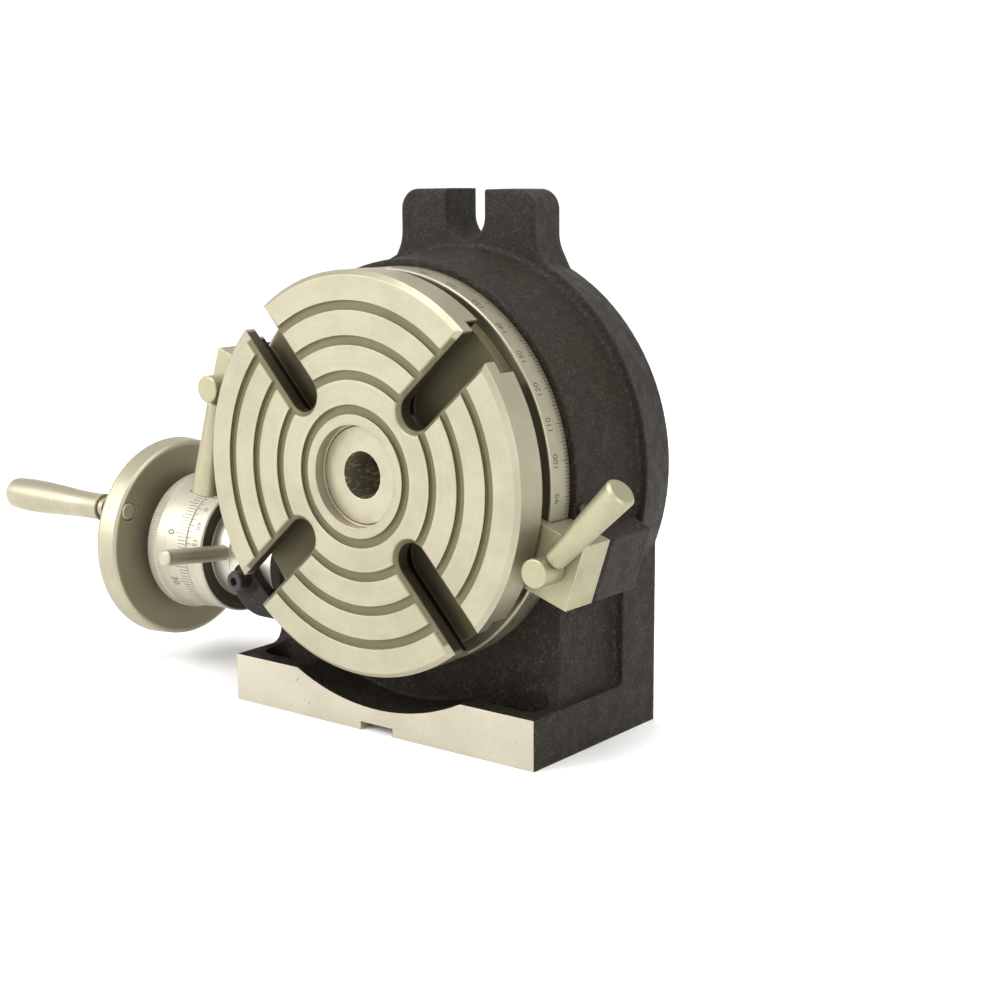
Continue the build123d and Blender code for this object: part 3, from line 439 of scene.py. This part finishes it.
def wheel_web(tree):
    """Mask for the unpolished web of the handwheel, between its rim and its hub."""
    colours = bpy.context.scene.rotary_table_colours
    x, y, z = split(tree, object_place(tree, WORM_AXIS))
    radius = radius_of(tree, y, z)
    within = band(tree, radius, 15.0 * MM, HANDWHEEL_R - 2.6 * MM, 0.25 * MM)
    front = band(tree, x, WEB_X - 0.5 * MM, WEB_X + 0.6 * MM, 0.2 * MM)
    back = smooth(tree, x, HANDWHEEL_LOW.x + 4.6 * MM, HANDWHEEL_LOW.x + 3.4 * MM)
    dish = band(tree, radius, 18.0 * MM, 29.5 * MM, 0.3 * MM)
    return (
        (calc(tree, "MULTIPLY", within, front), colours.web, 0.12),
        (calc(tree, "MULTIPLY", dish, back), colours.web, 0.10),
    )


def sleeve_faces(tree):
    """Mask for painted shade on the end faces of the vernier ring and the flange behind it, which stand in
    shade.
    """
    x = split(tree, object_place(tree))[0]
    face = band(tree, x, VERNIER_HIGH.x - 1.1 * MM, VERNIER_HIGH.x + 0.4 * MM, 0.1 * MM)
    y, z = split(tree, object_place(tree, WORM_AXIS))[1:3]
    flange = band(tree, radius_of(tree, y, z), 20.7 * MM, 26.3 * MM, 0.1 * MM)
    # Painted shade: these end faces are darkened for the shade they stand in.
    return ((calc(tree, "MULTIPLY", face, flange), (0.075, 0.066, 0.046), 0.15),)


def ground_metal(name, base, rough=0.42, metal=0.9, scale=60.0, edge=0.5 * MM, grain_size=0.010 * MM):
    """Ground and lightly blasted steel, for blocks, rods and pins."""
    material, tree, shader = start_material(name, Metallic=metal)
    place = object_place(tree)
    colour, patina = stained_metal(tree, place, base, 0.84, 0.5, scale)
    wear = use_group(tree, "Edge Wear", Radius=edge, Strength=2.4)
    # The edges are lightened: partly edge wear, partly a painted highlight where the edges would catch the
    # light.
    worn = calc(tree, "MULTIPLY", wear["Mask"], 0.7)
    colour = blend(tree, worn, colour, tuple(min(1.0, c * 1.9) for c in base))
    roughness = calc(tree, "ADD", rough, calc(tree, "MULTIPLY", patina["Stain"], 0.12))
    connect(tree, shader, Base_Color=colour, Roughness=roughness,
            Normal=bump(tree, patina["Grain"], grain_size, wear["Normal"]))
    return material


def taper_bore_metal(name, base):
    """The bush's honed bore: rough crossed scratches inside, a turned ring outside."""
    material, tree, shader = start_material(name, Metallic=0.9)
    place = object_place(tree, TABLE_AXIS, ALONG_TABLE)
    lathe = use_group(tree, "Turning Lines", Vector=place, Lines_per_metre=5200.0)
    colour, patina = stained_metal(tree, place, base, 0.8, 0.4, 70.0)
    x, y, z = split(tree, place)
    bore = smooth(tree, radius_of(tree, x, y), 9.4 * MM, 8.9 * MM)
    stretched = put(tree, "ShaderNodeMapping", {"Vector": place, "Scale": (1.0, 1.0, 0.35)}).outputs[0]
    scratches = smooth(tree, noise(tree, stretched, 900.0, 4.0, 0.7), 0.52, 0.62)
    dull = blend(tree, scratches, tuple(c * 0.9 for c in base), tuple(c * 2.0 for c in base))
    colour = blend(tree, bore, colour, dull)
    wear = use_group(tree, "Edge Wear", Radius=0.4 * MM, Strength=2.0)
    height = calc(tree, "ADD", lathe["Height"], calc(tree, "MULTIPLY", bore, scratches))
    roughness = calc(tree, "ADD", 0.36, calc(tree, "MULTIPLY", patina["Stain"], 0.12))
    connect(tree, shader, Base_Color=colour, Roughness=roughness,
            Normal=bump(tree, height, 0.008 * MM, wear["Normal"]))
    return material


def casting_finish(name, paint, speckle, machined):
    """Dark paint over the rough casting, with bare metal on the machined faces."""
    material, tree, shader = start_material(name, Specular_IOR_Level=0.22)
    place = object_place(tree)
    x, y, z = split(tree, place)
    skin = use_group(tree, "Cast Skin", Vector=place, Grains_per_metre=1700.0)
    uneven = calc(tree, "SUBTRACT", noise(tree, place, 700.0, 3.0), 0.5)
    ragged = calc(tree, "MULTIPLY", uneven, 0.9 * MM)
    facing = split(tree, put(tree, "ShaderNodeNewGeometry").outputs["True Normal"])
    edge_y = calc(tree, "ADD", y, ragged)
    front = smooth(tree, edge_y, CASTING_LOW.y + 0.30 * MM, CASTING_LOW.y + 0.16 * MM)
    front_wall = smooth(tree, facing[1], -0.90, -0.97)
    back = smooth(tree, edge_y, CASTING_HIGH.y - 0.30 * MM, CASTING_HIGH.y - 0.16 * MM)
    keyway = band(tree, x, -8.02 * MM, 8.02 * MM, 0.02 * MM)
    groove_floor = smooth(tree, y, CASTING_HIGH.y - 3.6 * MM, CASTING_HIGH.y - 3.4 * MM)
    back_groove = calc(tree, "MULTIPLY", keyway, groove_floor)
    under = smooth(tree, z, 0.10 * MM, 0.05 * MM)
    foot_groove = calc(tree, "MULTIPLY", keyway, smooth(tree, z, 3.5 * MM, 3.4 * MM))
    up, side = split(tree, object_place(tree, TABLE_AXIS))[2], x
    in_bore = smooth(tree, radius_of(tree, side, up), 47.0 * MM, 46.4 * MM)
    bare = calc(tree, "MULTIPLY", front, front_wall)
    for machined_place in (back, under, back_groove, foot_groove, in_bore):
        bare = calc(tree, "MAXIMUM", bare, machined_place)

    dark = blend(tree, skin["Speckle"], paint, speckle)
    dark = blend(tree, calc(tree, "MULTIPLY", skin["Cloud"], 0.35), dark, tuple(c * 1.9 for c in paint))
    wear = use_group(tree, "Edge Wear", Radius=2.0 * MM, Strength=1.6)
    # The paint is lightened along the edges: partly paint worn off, partly a painted highlight along them.
    rubbed_and_highlight = calc(tree, "MULTIPLY", wear["Mask"], calc(tree, "ADD", 0.35, skin["Speckle"]), clamp=True)
    dark = blend(tree, rubbed_and_highlight, dark, tuple(c * 1.25 for c in speckle))
    metal, patina = stained_metal(tree, place, machined, 0.78, 0.75, 38.0)
    along_cut = put(tree, "ShaderNodeMapping", {"Vector": place, "Scale": (0.05, 1.0, 1.0)}).outputs[0]
    milling = noise(tree, along_cut, 2400.0, 2.0)
    metal = blend(tree, 0.25, metal, blend(tree, milling, (0.6, 0.6, 0.6), (1, 1, 1)), "MULTIPLY")
    colour = blend(tree, bare, dark, metal)

    covered = calc(tree, "SUBTRACT", 1.0, bare)
    paint_rough = calc(tree, "ADD", 0.56, calc(tree, "MULTIPLY", skin["Cloud"], 0.14))
    paint_part = calc(tree, "MULTIPLY", covered, paint_rough)
    roughness = calc(tree, "ADD", paint_part, calc(tree, "MULTIPLY", bare, 0.46))
    sharp = use_group(tree, "Edge Wear", Radius=0.3 * MM, Strength=1.0)
    height = calc(tree, "ADD", calc(tree, "MULTIPLY", skin["Height"], covered),
                  calc(tree, "MULTIPLY", calc(tree, "MULTIPLY", milling, bare), 0.03))
    normal = put(tree, "ShaderNodeMix", data_type="VECTOR")
    tree.links.new(bare, normal.inputs[0])
    tree.links.new(wear["Normal"], normal.inputs[4])
    tree.links.new(sharp["Normal"], normal.inputs[5])
    connect(tree, shader, Base_Color=colour, Roughness=roughness, Metallic=calc(tree, "MULTIPLY", bare, 0.8),
            Normal=bump(tree, height, 0.34 * MM, normal.outputs[1]))
    return material


def black_oxide(name, base):
    """Blued screws and keys, their corners lightened by wear and by a painted highlight."""
    material, tree, shader = start_material(name, Metallic=0.35)
    place = object_place(tree)
    patina = use_group(tree, "Patina", Vector=place, Scale=80.0)
    colour = blend(tree, patina["Stain"], base, tuple(c * 1.8 for c in base))
    wear = use_group(tree, "Edge Wear", Radius=0.4 * MM, Strength=2.5)
    # The edges are lightened: partly wear, partly a painted highlight.
    colour = blend(tree, calc(tree, "MULTIPLY", wear["Mask"], 0.5), colour, (0.16, 0.15, 0.13))
    roughness = calc(tree, "ADD", 0.38, calc(tree, "MULTIPLY", patina["Grain"], 0.15))
    connect(tree, shader, Base_Color=colour, Roughness=roughness,
            Normal=bump(tree, patina["Grain"], 0.012 * MM, wear["Normal"]))
    return material


def filled_mark(name):
    """Dark wax pressed into the engraved lines and digits."""
    material, tree, shader = start_material(name, Metallic=0.0)
    place = object_place(tree)
    worn = smooth(tree, noise(tree, place, 2600.0, 3.0, 0.6), 0.42, 0.66)
    colour = blend(tree, worn, (0.022, 0.018, 0.012), (0.075, 0.066, 0.045))
    grain = noise(tree, place, 5200.0, 2.0)
    plain = put(tree, "ShaderNodeNewGeometry").outputs["Normal"]
    roughness = calc(tree, "ADD", 0.55, calc(tree, "MULTIPLY", grain, 0.2))
    connect(tree, shader, Base_Color=colour, Roughness=roughness,
            Normal=bump(tree, grain, 0.006 * MM, plain))
    return material


def floor_finish(name):
    """Pale seamless studio floor with a very faint tone."""
    material, tree, shader = start_material(name)
    cloud = noise(tree, object_place(tree), 1.7, 2.0)
    colour = blend(tree, cloud, (0.93, 0.93, 0.925), (0.95, 0.95, 0.945))
    roughness = calc(tree, "ADD", 0.85, calc(tree, "MULTIPLY", cloud, 0.1))
    connect(tree, shader, Base_Color=colour, Roughness=roughness)
    return material


def finish_node(node, material):
    """Gives a carried-over part its material; its mesh and place stay as they are."""
    part = NODES[node]
    part.data.materials.clear()
    part.data.materials.append(material)


# ============================================================ shape helpers
class Drum:
    """A round surface: marks are laid on it by turn, distance along and height above."""

    def __init__(self, centre, along, start, sense=1.0):
        self.centre = Vector(centre)
        self.along = Vector(along)
        self.start = Vector(start)
        self.side = self.along.cross(self.start) * sense

    def spot(self, turn, along, radius):
        out = self.start * math.cos(turn) + self.side * math.sin(turn)
        return self.centre + self.along * along + out * radius


# turns are counted the other way from the right-hand rule about +Y, so they run as seen from the front
RIM_DRUM = Drum(TABLE_AXIS, (0, 1, 0), (1, 0, 0), sense=-1.0)
# turns are counted from the front, upwards
DIAL_DRUM = Drum(WORM_AXIS, (1, 0, 0), (0, -1, 0), sense=-1.0)


def add_line(shape, drum, turn, along, length, width, radius, height):
    """A short closed bar across the drum's surface, from along to along + length."""
    made = bmesh.ops.create_cube(shape, size=1.0)["verts"]
    for vert in made:
        x, y, z = vert.co
        base = radius(along + length / 2) - 2 * height
        vert.co = drum.spot(turn + x * width / base, along + (y + 0.5) * length, 0.0)
        surface = radius(along + (y + 0.5) * length)
        out = (drum.spot(turn + x * width / base, 0, 1) - drum.spot(0, 0, 0)).normalized()
        vert.co += out * (surface + (height if z > 0 else -2 * height))


def add_text(shape, drum, words, turn, along, size, radius, height, up):
    """Digits wrapped on the drum; up is the sign of the way along it that their tops point."""
    curve = bpy.data.curves.new("digits", "FONT")
    curve.body = words
    curve.size = size * 1.38
    curve.align_x = "CENTER"
    curve.align_y = "CENTER"
    curve.offset = -0.002 * size
    curve.resolution_u = 3
    curve.extrude = 0.5
    holder = bpy.data.objects.new("digits", curve)
    flat = bpy.data.meshes.new_from_object(holder)
    before = len(shape.verts)
    shape.from_mesh(flat)
    shape.verts.ensure_lookup_table()
    for vert in shape.verts[before:]:
        x, y, z = vert.co
        spot_along = along + y * up
        surface = radius(spot_along)
        angle = turn + x * up * drum_reading(drum) / surface
        vert.co = drum.spot(angle, spot_along, surface + (height if z > 0 else -2 * height))
    bpy.data.objects.remove(holder)
    bpy.data.curves.remove(curve)
    bpy.data.meshes.remove(flat)


def drum_reading(drum):
    """Which way words run round a drum when their tops point along it."""
    outward, along = drum.start, drum.along
    rightward = along.cross(outward)
    return 1.0 if rightward.dot(drum.side) > 0 else -1.0


def finish_shape(name, shape, material, body):
    """Turns a bmesh into a piece that rides on a body."""
    bmesh.ops.recalc_face_normals(shape, faces=shape.faces)
    mesh = bpy.data.meshes.new(name)
    shape.to_mesh(mesh)
    shape.free()
    piece = bpy.data.objects.new(name, mesh)
    bpy.context.scene.collection.objects.link(piece)
    mesh.materials.append(material)
    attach(piece, body)
    return piece


# ============================================================ operators
class ROTARYTABLE_OT_shared(bpy.types.Operator):
    """Build the shared shader groups"""

    bl_idname = "rotary_table.shared"
    bl_label = "Shared Effects"

    def execute(self, context):
        edge_wear_group()
        turning_group()
        patina_group()
        cast_skin_group()
        return {"FINISHED"}


class ROTARYTABLE_OT_casting(bpy.types.Operator):
    """Finish the base casting and its zero index"""

    bl_idname = "rotary_table.casting"
    bl_label = "Base Casting"

    def execute(self, context):
        colours = context.scene.rotary_table_colours
        paint = casting_finish("Casting Paint", colours.paint, colours.speckle, (0.50, 0.46, 0.37))
        finish_node("base_casting", paint)
        finish_node("zero_index", black_oxide("Index Oxide", colours.oxide))
        return {"FINISHED"}


class ROTARYTABLE_OT_table(bpy.types.Operator):
    """Finish the table, its bush and what holds them in the casting"""

    bl_idname = "rotary_table.table"
    bl_label = "Table and Spindle"

    def execute(self, context):
        colours = context.scene.rotary_table_colours
        # The table's grooves and T-slots are darkened with painted shade.
        iron = turned_metal("Turned Iron", colours.iron, TABLE_AXIS, ALONG_TABLE, dark_where=table_grooves)
        finish_node("table_plate", iron)
        finish_node("centre_bush", taper_bore_metal("Taper Bush Steel", colours.iron))
        bronze = turned_metal("Turned Bronze", colours.bronze, TABLE_AXIS, ALONG_TABLE, rough=0.34)
        finish_node("worm_wheel", bronze)
        finish_node("thrust_washer", bronze)
        plain = turned_metal("Spindle Steel", colours.steel, TABLE_AXIS, ALONG_TABLE)
        finish_node("spindle_nut", plain)
        oxide = black_oxide("Spindle Screw Oxide", colours.oxide)
        for node in ("worm_wheel_screws", "nut_lock_screw"):
            finish_node(node, oxide)
        return {"FINISHED"}


class ROTARYTABLE_OT_drive(bpy.types.Operator):
    """Finish the worm, its sleeve, the dial and the handwheel"""

    bl_idname = "rotary_table.drive"
    bl_label = "Worm Drive"

    def execute(self, context):
        colours = context.scene.rotary_table_colours
        shaft = turned_metal("Worm Steel", colours.steel, WORM_AXIS, ALONG_WORM)
        for node in ("worm_shaft", "worm_retaining_nut", "worm_thrust_washer", "handwheel_washer"):
            finish_node(node, shaft)
        # The end face of the sleeve's flange is darkened with painted shade.
        sleeve = turned_metal("Sleeve Steel", (0.66, 0.63, 0.55), WORM_AXIS, ALONG_WORM,
                              dark_where=sleeve_faces)
        finish_node("eccentric_sleeve", sleeve)
        bronze = turned_metal("Bush Bronze", colours.bronze, WORM_AXIS, ALONG_WORM, rough=0.34)
        for node in ("worm_bush_outer", "worm_bush_inner"):
            finish_node(node, bronze)
        satin = turned_metal("Dial Satin", colours.dial, WORM_AXIS, ALONG_WORM, rough=0.46, metal=0.75,
                             bump_size=0.003 * MM, edge=0.25 * MM)
        finish_node("graduated_collar", satin)
        # The end face of the vernier ring is darkened with painted shade.
        ring = turned_metal("Vernier Satin", colours.dial, WORM_AXIS, ALONG_WORM, rough=0.46, metal=0.75,
                            bump_size=0.003 * MM, dark_where=sleeve_faces, edge=0.25 * MM)
        finish_node("vernier_ring", ring)
        wheel = turned_metal("Handwheel Satin", colours.iron, WORM_AXIS, ALONG_WORM, rough=0.44,
                             dark_where=wheel_web, edge=0.7 * MM)
        finish_node("handwheel", wheel)
        handle_axis = Vector((0, middle("handle_grip").y, middle("handle_grip").z))
        grip = turned_metal("Handle Satin", colours.iron, handle_axis, ALONG_WORM, rough=0.40, edge=0.5 * MM)
        finish_node("handle_grip", grip)
        finish_node("handle_spindle", grip)
        pin = ground_metal("Lever Pin Steel", (0.42, 0.39, 0.30), rough=0.38, scale=95.0,
                           grain_size=0.05 * MM)
        finish_node("sleeve_lever_pin", pin)
        oxide = black_oxide("Drive Oxide", colours.oxide)
        for node in ("sleeve_lock_screw", "handwheel_key", "handwheel_nut", "dial_spring"):
            finish_node(node, oxide)
        return {"FINISHED"}


class ROTARYTABLE_OT_clamps(bpy.types.Operator):
    """Finish the two rim clamps with their studs and levers"""

    bl_idname = "rotary_table.clamps"
    bl_label = "Rim Clamps"

    def execute(self, context):
        colours = context.scene.rotary_table_colours
        block = ground_metal("Clamp Block Steel", colours.steel, rough=0.44)
        rod = ground_metal("Clamp Rod Steel", colours.steel, rough=0.38, scale=75.0)
        for side in ("right", "left"):
            finish_node(f"clamp_block_{side}", block)
            finish_node(f"clamp_stud_{side}", rod)
            finish_node(f"clamp_lever_{side}", rod)
        return {"FINISHED"}


class ROTARYTABLE_OT_keys(bpy.types.Operator):
    """Finish the locating keys and their screws"""

    bl_idname = "rotary_table.keys"
    bl_label = "Locating Keys"

    def execute(self, context):
        oxide = black_oxide("Key Oxide", context.scene.rotary_table_colours.oxide)
        for node in ("locating_key_lower", "locating_key_upper", "key_screws"):
            finish_node(node, oxide)
        return {"FINISHED"}


class ROTARYTABLE_OT_rim_marks(bpy.types.Operator):
    """Engrave the rim: a line for each degree and a number every ten"""

    bl_idname = "rotary_table.rim_marks"
    bl_label = "Rim Graduations"

    def execute(self, context):
        sizes = context.scene.rotary_table_sizes
        shape = bmesh.new()
        for degree in range(360):
            turn = math.radians(degree - 90 + TABLE_TURN)
            length = (3.6 if degree % 10 == 0 else 3.0 if degree % 5 == 0 else 2.2) * MM
            add_line(shape, RIM_DRUM, turn, RIM_BACK_Y - 0.45 * MM - length, length, sizes.line_width,
                     lambda along: RIM_R, sizes.mark_height)
        for degree in range(0, 360, 10):
            turn = math.radians(degree - 90 + TABLE_TURN)
            add_text(shape, RIM_DRUM, str(degree), turn, RIM_FRONT_Y + 3.4 * MM, sizes.rim_digit,
                     lambda along: RIM_R, sizes.mark_height, up=-1)
        finish_shape("rim_graduations", shape, bpy.data.materials["Filled Mark"], "table")
        return {"FINISHED"}


class ROTARYTABLE_OT_dial_marks(bpy.types.Operator):
    """Engrave the dial: two minutes of arc to a line, four degrees to a turn"""

    bl_idname = "rotary_table.dial_marks"
    bl_label = "Dial Graduations"

    def execute(self, context):
        sizes = context.scene.rotary_table_sizes
        edge = DIAL_HIGH.x - 0.45 * MM

        def dial_radius(along):
            return 27.0 * MM + (DIAL_HIGH.x - 0.4 * MM - along) * DIAL_TAPER

        shape = bmesh.new()
        zero = math.radians(DIAL_ZERO)
        for step in range(120):
            turn = zero + math.radians(3 * step)
            length = (6.2 if step % 15 == 0 else 5.4 if step % 5 == 0 else 4.2) * MM
            add_line(shape, DIAL_DRUM, turn, edge - length, length, sizes.line_width, dial_radius,
                     sizes.mark_height)
        for step in range(8):
            words = "30" if step % 2 else str(step // 2)
            add_text(shape, DIAL_DRUM, words, zero + math.radians(45 * step), edge - 8.6 * MM,
                     sizes.dial_digit, dial_radius, sizes.mark_height, up=1)
        finish_shape("dial_graduations", shape, bpy.data.materials["Filled Mark"], "dial")
        return {"FINISHED"}


class ROTARYTABLE_OT_vernier_marks(bpy.types.Operator):
    """Engrave the vernier ring: twenty seconds of arc to a line, either side of zero"""

    bl_idname = "rotary_table.vernier_marks"
    bl_label = "Vernier Marks"

    def execute(self, context):
        sizes = context.scene.rotary_table_sizes
        edge = VERNIER_LOW.x + 0.15 * MM

        def ring_radius(along):
            return 26.8 * MM + (along - VERNIER_LOW.x) * 0.3 / 8.4

        shape = bmesh.new()
        zero = math.radians(VERNIER_ZERO)
        for step in range(-6, 7):
            turn = zero + math.radians(VERNIER_STEP * step)
            length = (2.6 if step % 3 == 0 else 1.7) * MM
            add_line(shape, DIAL_DRUM, turn, edge, length, sizes.line_width, ring_radius, sizes.mark_height)
        for step in range(-6, 7, 3):
            turn = zero + math.radians(VERNIER_STEP * step)
            add_text(shape, DIAL_DRUM, str(abs(step) * 20), turn, edge + 4.7 * MM,
                     sizes.vernier_digit, ring_radius, sizes.mark_height, up=1)
        finish_shape("vernier_marks", shape, bpy.data.materials["Filled Mark"], "sleeve")
        return {"FINISHED"}


class ROTARYTABLE_OT_knurl(bpy.types.Operator):
    """Cut the straight knurl round the dial's rim"""

    bl_idname = "rotary_table.knurl"
    bl_label = "Dial Knurl"

    def execute(self, context):
        depth = context.scene.rotary_table_sizes.knurl_depth
        teeth = 150
        start, width = DIAL_LOW.x + 0.7 * MM, 3.5 * MM
        shape = bmesh.new()
        axis = Vector((start, WORM_AXIS.y, WORM_AXIS.z))
        facing = Matrix.Translation(axis) @ Matrix.Rotation(math.pi / 2, 4, "Y")
        round_ring = {"segments": 2 * teeth, "matrix": facing}
        outer = bmesh.ops.create_circle(shape, radius=DIAL_R + depth, **round_ring)["verts"]
        for vert in outer[::2]:
            vert.co = axis + (vert.co - axis) * ((DIAL_R - depth) / (DIAL_R + depth))
        bmesh.ops.create_circle(shape, radius=DIAL_R - 4 * depth, **round_ring)
        bmesh.ops.bridge_loops(shape, edges=shape.edges[:])
        grown = bmesh.ops.extrude_face_region(shape, geom=shape.faces[:])["geom"]
        moved = [v for v in grown if isinstance(v, bmesh.types.BMVert)]
        bmesh.ops.translate(shape, verts=moved, vec=(width, 0, 0))
        finish_shape("dial_knurl", shape, bpy.data.materials["Dial Satin"], "dial")
        return {"FINISHED"}


class ROTARYTABLE_OT_stage(bpy.types.Operator):
    """Set the floor, the studio lights and the camera"""

    bl_idname = "rotary_table.stage"
    bl_label = "Stage"

    def execute(self, context):
        scene = context.scene
        stage = scene.rotary_table_stage
        self.make_floor(scene)
        target = Vector((0, 0, 0.09))
        self.soft_light(scene, "key_light", (-1.15, -1.45, 1.05), target, 1.3, stage.key)
        self.soft_light(scene, "top_light", (0.1, -0.25, 1.75), target, 1.5, stage.top)
        self.soft_light(scene, "fill_light", (1.7, -0.55, 0.75), target, 1.0, stage.fill)
        world = bpy.data.worlds.new("studio")
        world.use_nodes = True
        background = world.node_tree.nodes["Background"]
        background.inputs["Color"].default_value = (1.0, 0.99, 0.97, 1)
        background.inputs["Strength"].default_value = stage.sky
        scene.world = world
        scene.view_settings.view_transform = "Standard"
        self.make_camera(scene)
        return {"FINISHED"}

    def make_floor(self, scene):
        """A flat floor whose edge sweeps up all round, spun from one profile."""
        shape = bmesh.new()
        flat, sweep, top = 2.2, 0.9, 2.4
        points = [Vector((0, 0, 0)), Vector((flat, 0, 0))]
        for step in range(1, 9):
            angle = step / 8 * math.pi / 2
            points.append(Vector((flat + sweep * math.sin(angle), 0, sweep * (1 - math.cos(angle)))))
        points.append(Vector((flat + sweep, 0, top)))
        verts = [shape.verts.new(p) for p in points]
        edges = [shape.edges.new(pair) for pair in zip(verts, verts[1:])]
        bmesh.ops.spin(shape, geom=verts + edges, cent=(0, 0, 0), axis=(0, 0, 1), angle=2 * math.pi,
                       steps=72, use_merge=True)
        bmesh.ops.remove_doubles(shape, verts=shape.verts, dist=1e-5)
        bmesh.ops.recalc_face_normals(shape, faces=shape.faces)
        mesh = bpy.data.meshes.new("floor")
        shape.to_mesh(mesh)
        shape.free()
        for face in mesh.polygons:
            face.use_smooth = True
        floor = bpy.data.objects.new("floor", mesh)
        mesh.materials.append(floor_finish("Floor"))
        scene.collection.objects.link(floor)

    def soft_light(self, scene, name, place, target, size, power):
        data = bpy.data.lights.new(name, "AREA")
        data.shape = "DISK"
        data.size = size
        data.energy = power
        light = bpy.data.objects.new(name, data)
        light.location = place
        light.rotation_euler = (target - Vector(place)).to_track_quat("-Z", "Y").to_euler()
        scene.collection.objects.link(light)

    def make_camera(self, scene):
        """The viewpoint: right of the table's axis, a little above it, with a long lens."""
        place = Vector((0.43864, -0.53043, 0.21450))
        target = Vector((0.0, 0.03816, 0.07814))
        roll = math.radians(-0.246)
        data = bpy.data.cameras.new("camera")
        data.lens = 65.19
        data.sensor_width = 36.0
        camera = bpy.data.objects.new("camera", data)
        aim = (target - place).to_track_quat("-Z", "Y").to_matrix().to_4x4()
        camera.matrix_world = Matrix.Translation(place) @ aim @ Matrix.Rotation(roll, 4, "Z")
        scene.collection.objects.link(camera)
        scene.camera = camera


class ROTARYTABLE_OT_marks_finish(bpy.types.Operator):
    """Mix the dark filling of the engraved marks"""

    bl_idname = "rotary_table.marks_finish"
    bl_label = "Mark Filling"

    def execute(self, context):
        filled_mark("Filled Mark")
        return {"FINISHED"}


STEPS = (
    ROTARYTABLE_OT_stage,
    ROTARYTABLE_OT_shared,
    ROTARYTABLE_OT_casting,
    ROTARYTABLE_OT_table,
    ROTARYTABLE_OT_drive,
    ROTARYTABLE_OT_clamps,
    ROTARYTABLE_OT_keys,
    ROTARYTABLE_OT_marks_finish,
    ROTARYTABLE_OT_rim_marks,
    ROTARYTABLE_OT_dial_marks,
    ROTARYTABLE_OT_vernier_marks,
    ROTARYTABLE_OT_knurl,
)


class ROTARYTABLE_PT_panel(bpy.types.Panel):
    """Lists the steps and their settings"""

    bl_idname = "ROTARYTABLE_PT_panel"
    bl_label = "Rotary Table"
    bl_space_type = "VIEW_3D"
    bl_region_type = "UI"
    bl_category = "Rotary Table"

    def draw(self, context):
        layout = self.layout
        for step in STEPS:
            layout.operator(step.bl_idname)
        for group in SETTINGS:
            settings = getattr(context.scene, group)
            for name in settings.bl_rna.properties.keys():
                if name not in ("rna_type", "name"):
                    layout.prop(settings, name)


SETTINGS = {
    "rotary_table_sizes": RotaryTableSizes,
    "rotary_table_colours": RotaryTableColours,
    "rotary_table_stage": RotaryTableStage,
}


def register():
    for settings in SETTINGS.values():
        bpy.utils.register_class(settings)
    for name, settings in SETTINGS.items():
        setattr(bpy.types.Scene, name, PointerProperty(type=settings))
    for step in STEPS:
        bpy.utils.register_class(step)
    bpy.utils.register_class(ROTARYTABLE_PT_panel)


def unregister():
    bpy.utils.unregister_class(ROTARYTABLE_PT_panel)
    for step in reversed(STEPS):
        bpy.utils.unregister_class(step)
    for name, settings in SETTINGS.items():
        delattr(bpy.types.Scene, name)
        bpy.utils.unregister_class(settings)


def main():
    register()
    for step in STEPS:
        group, name = step.bl_idname.split(".")
        getattr(getattr(bpy.ops, group), name)()


if __name__ == "__main__":
    main()
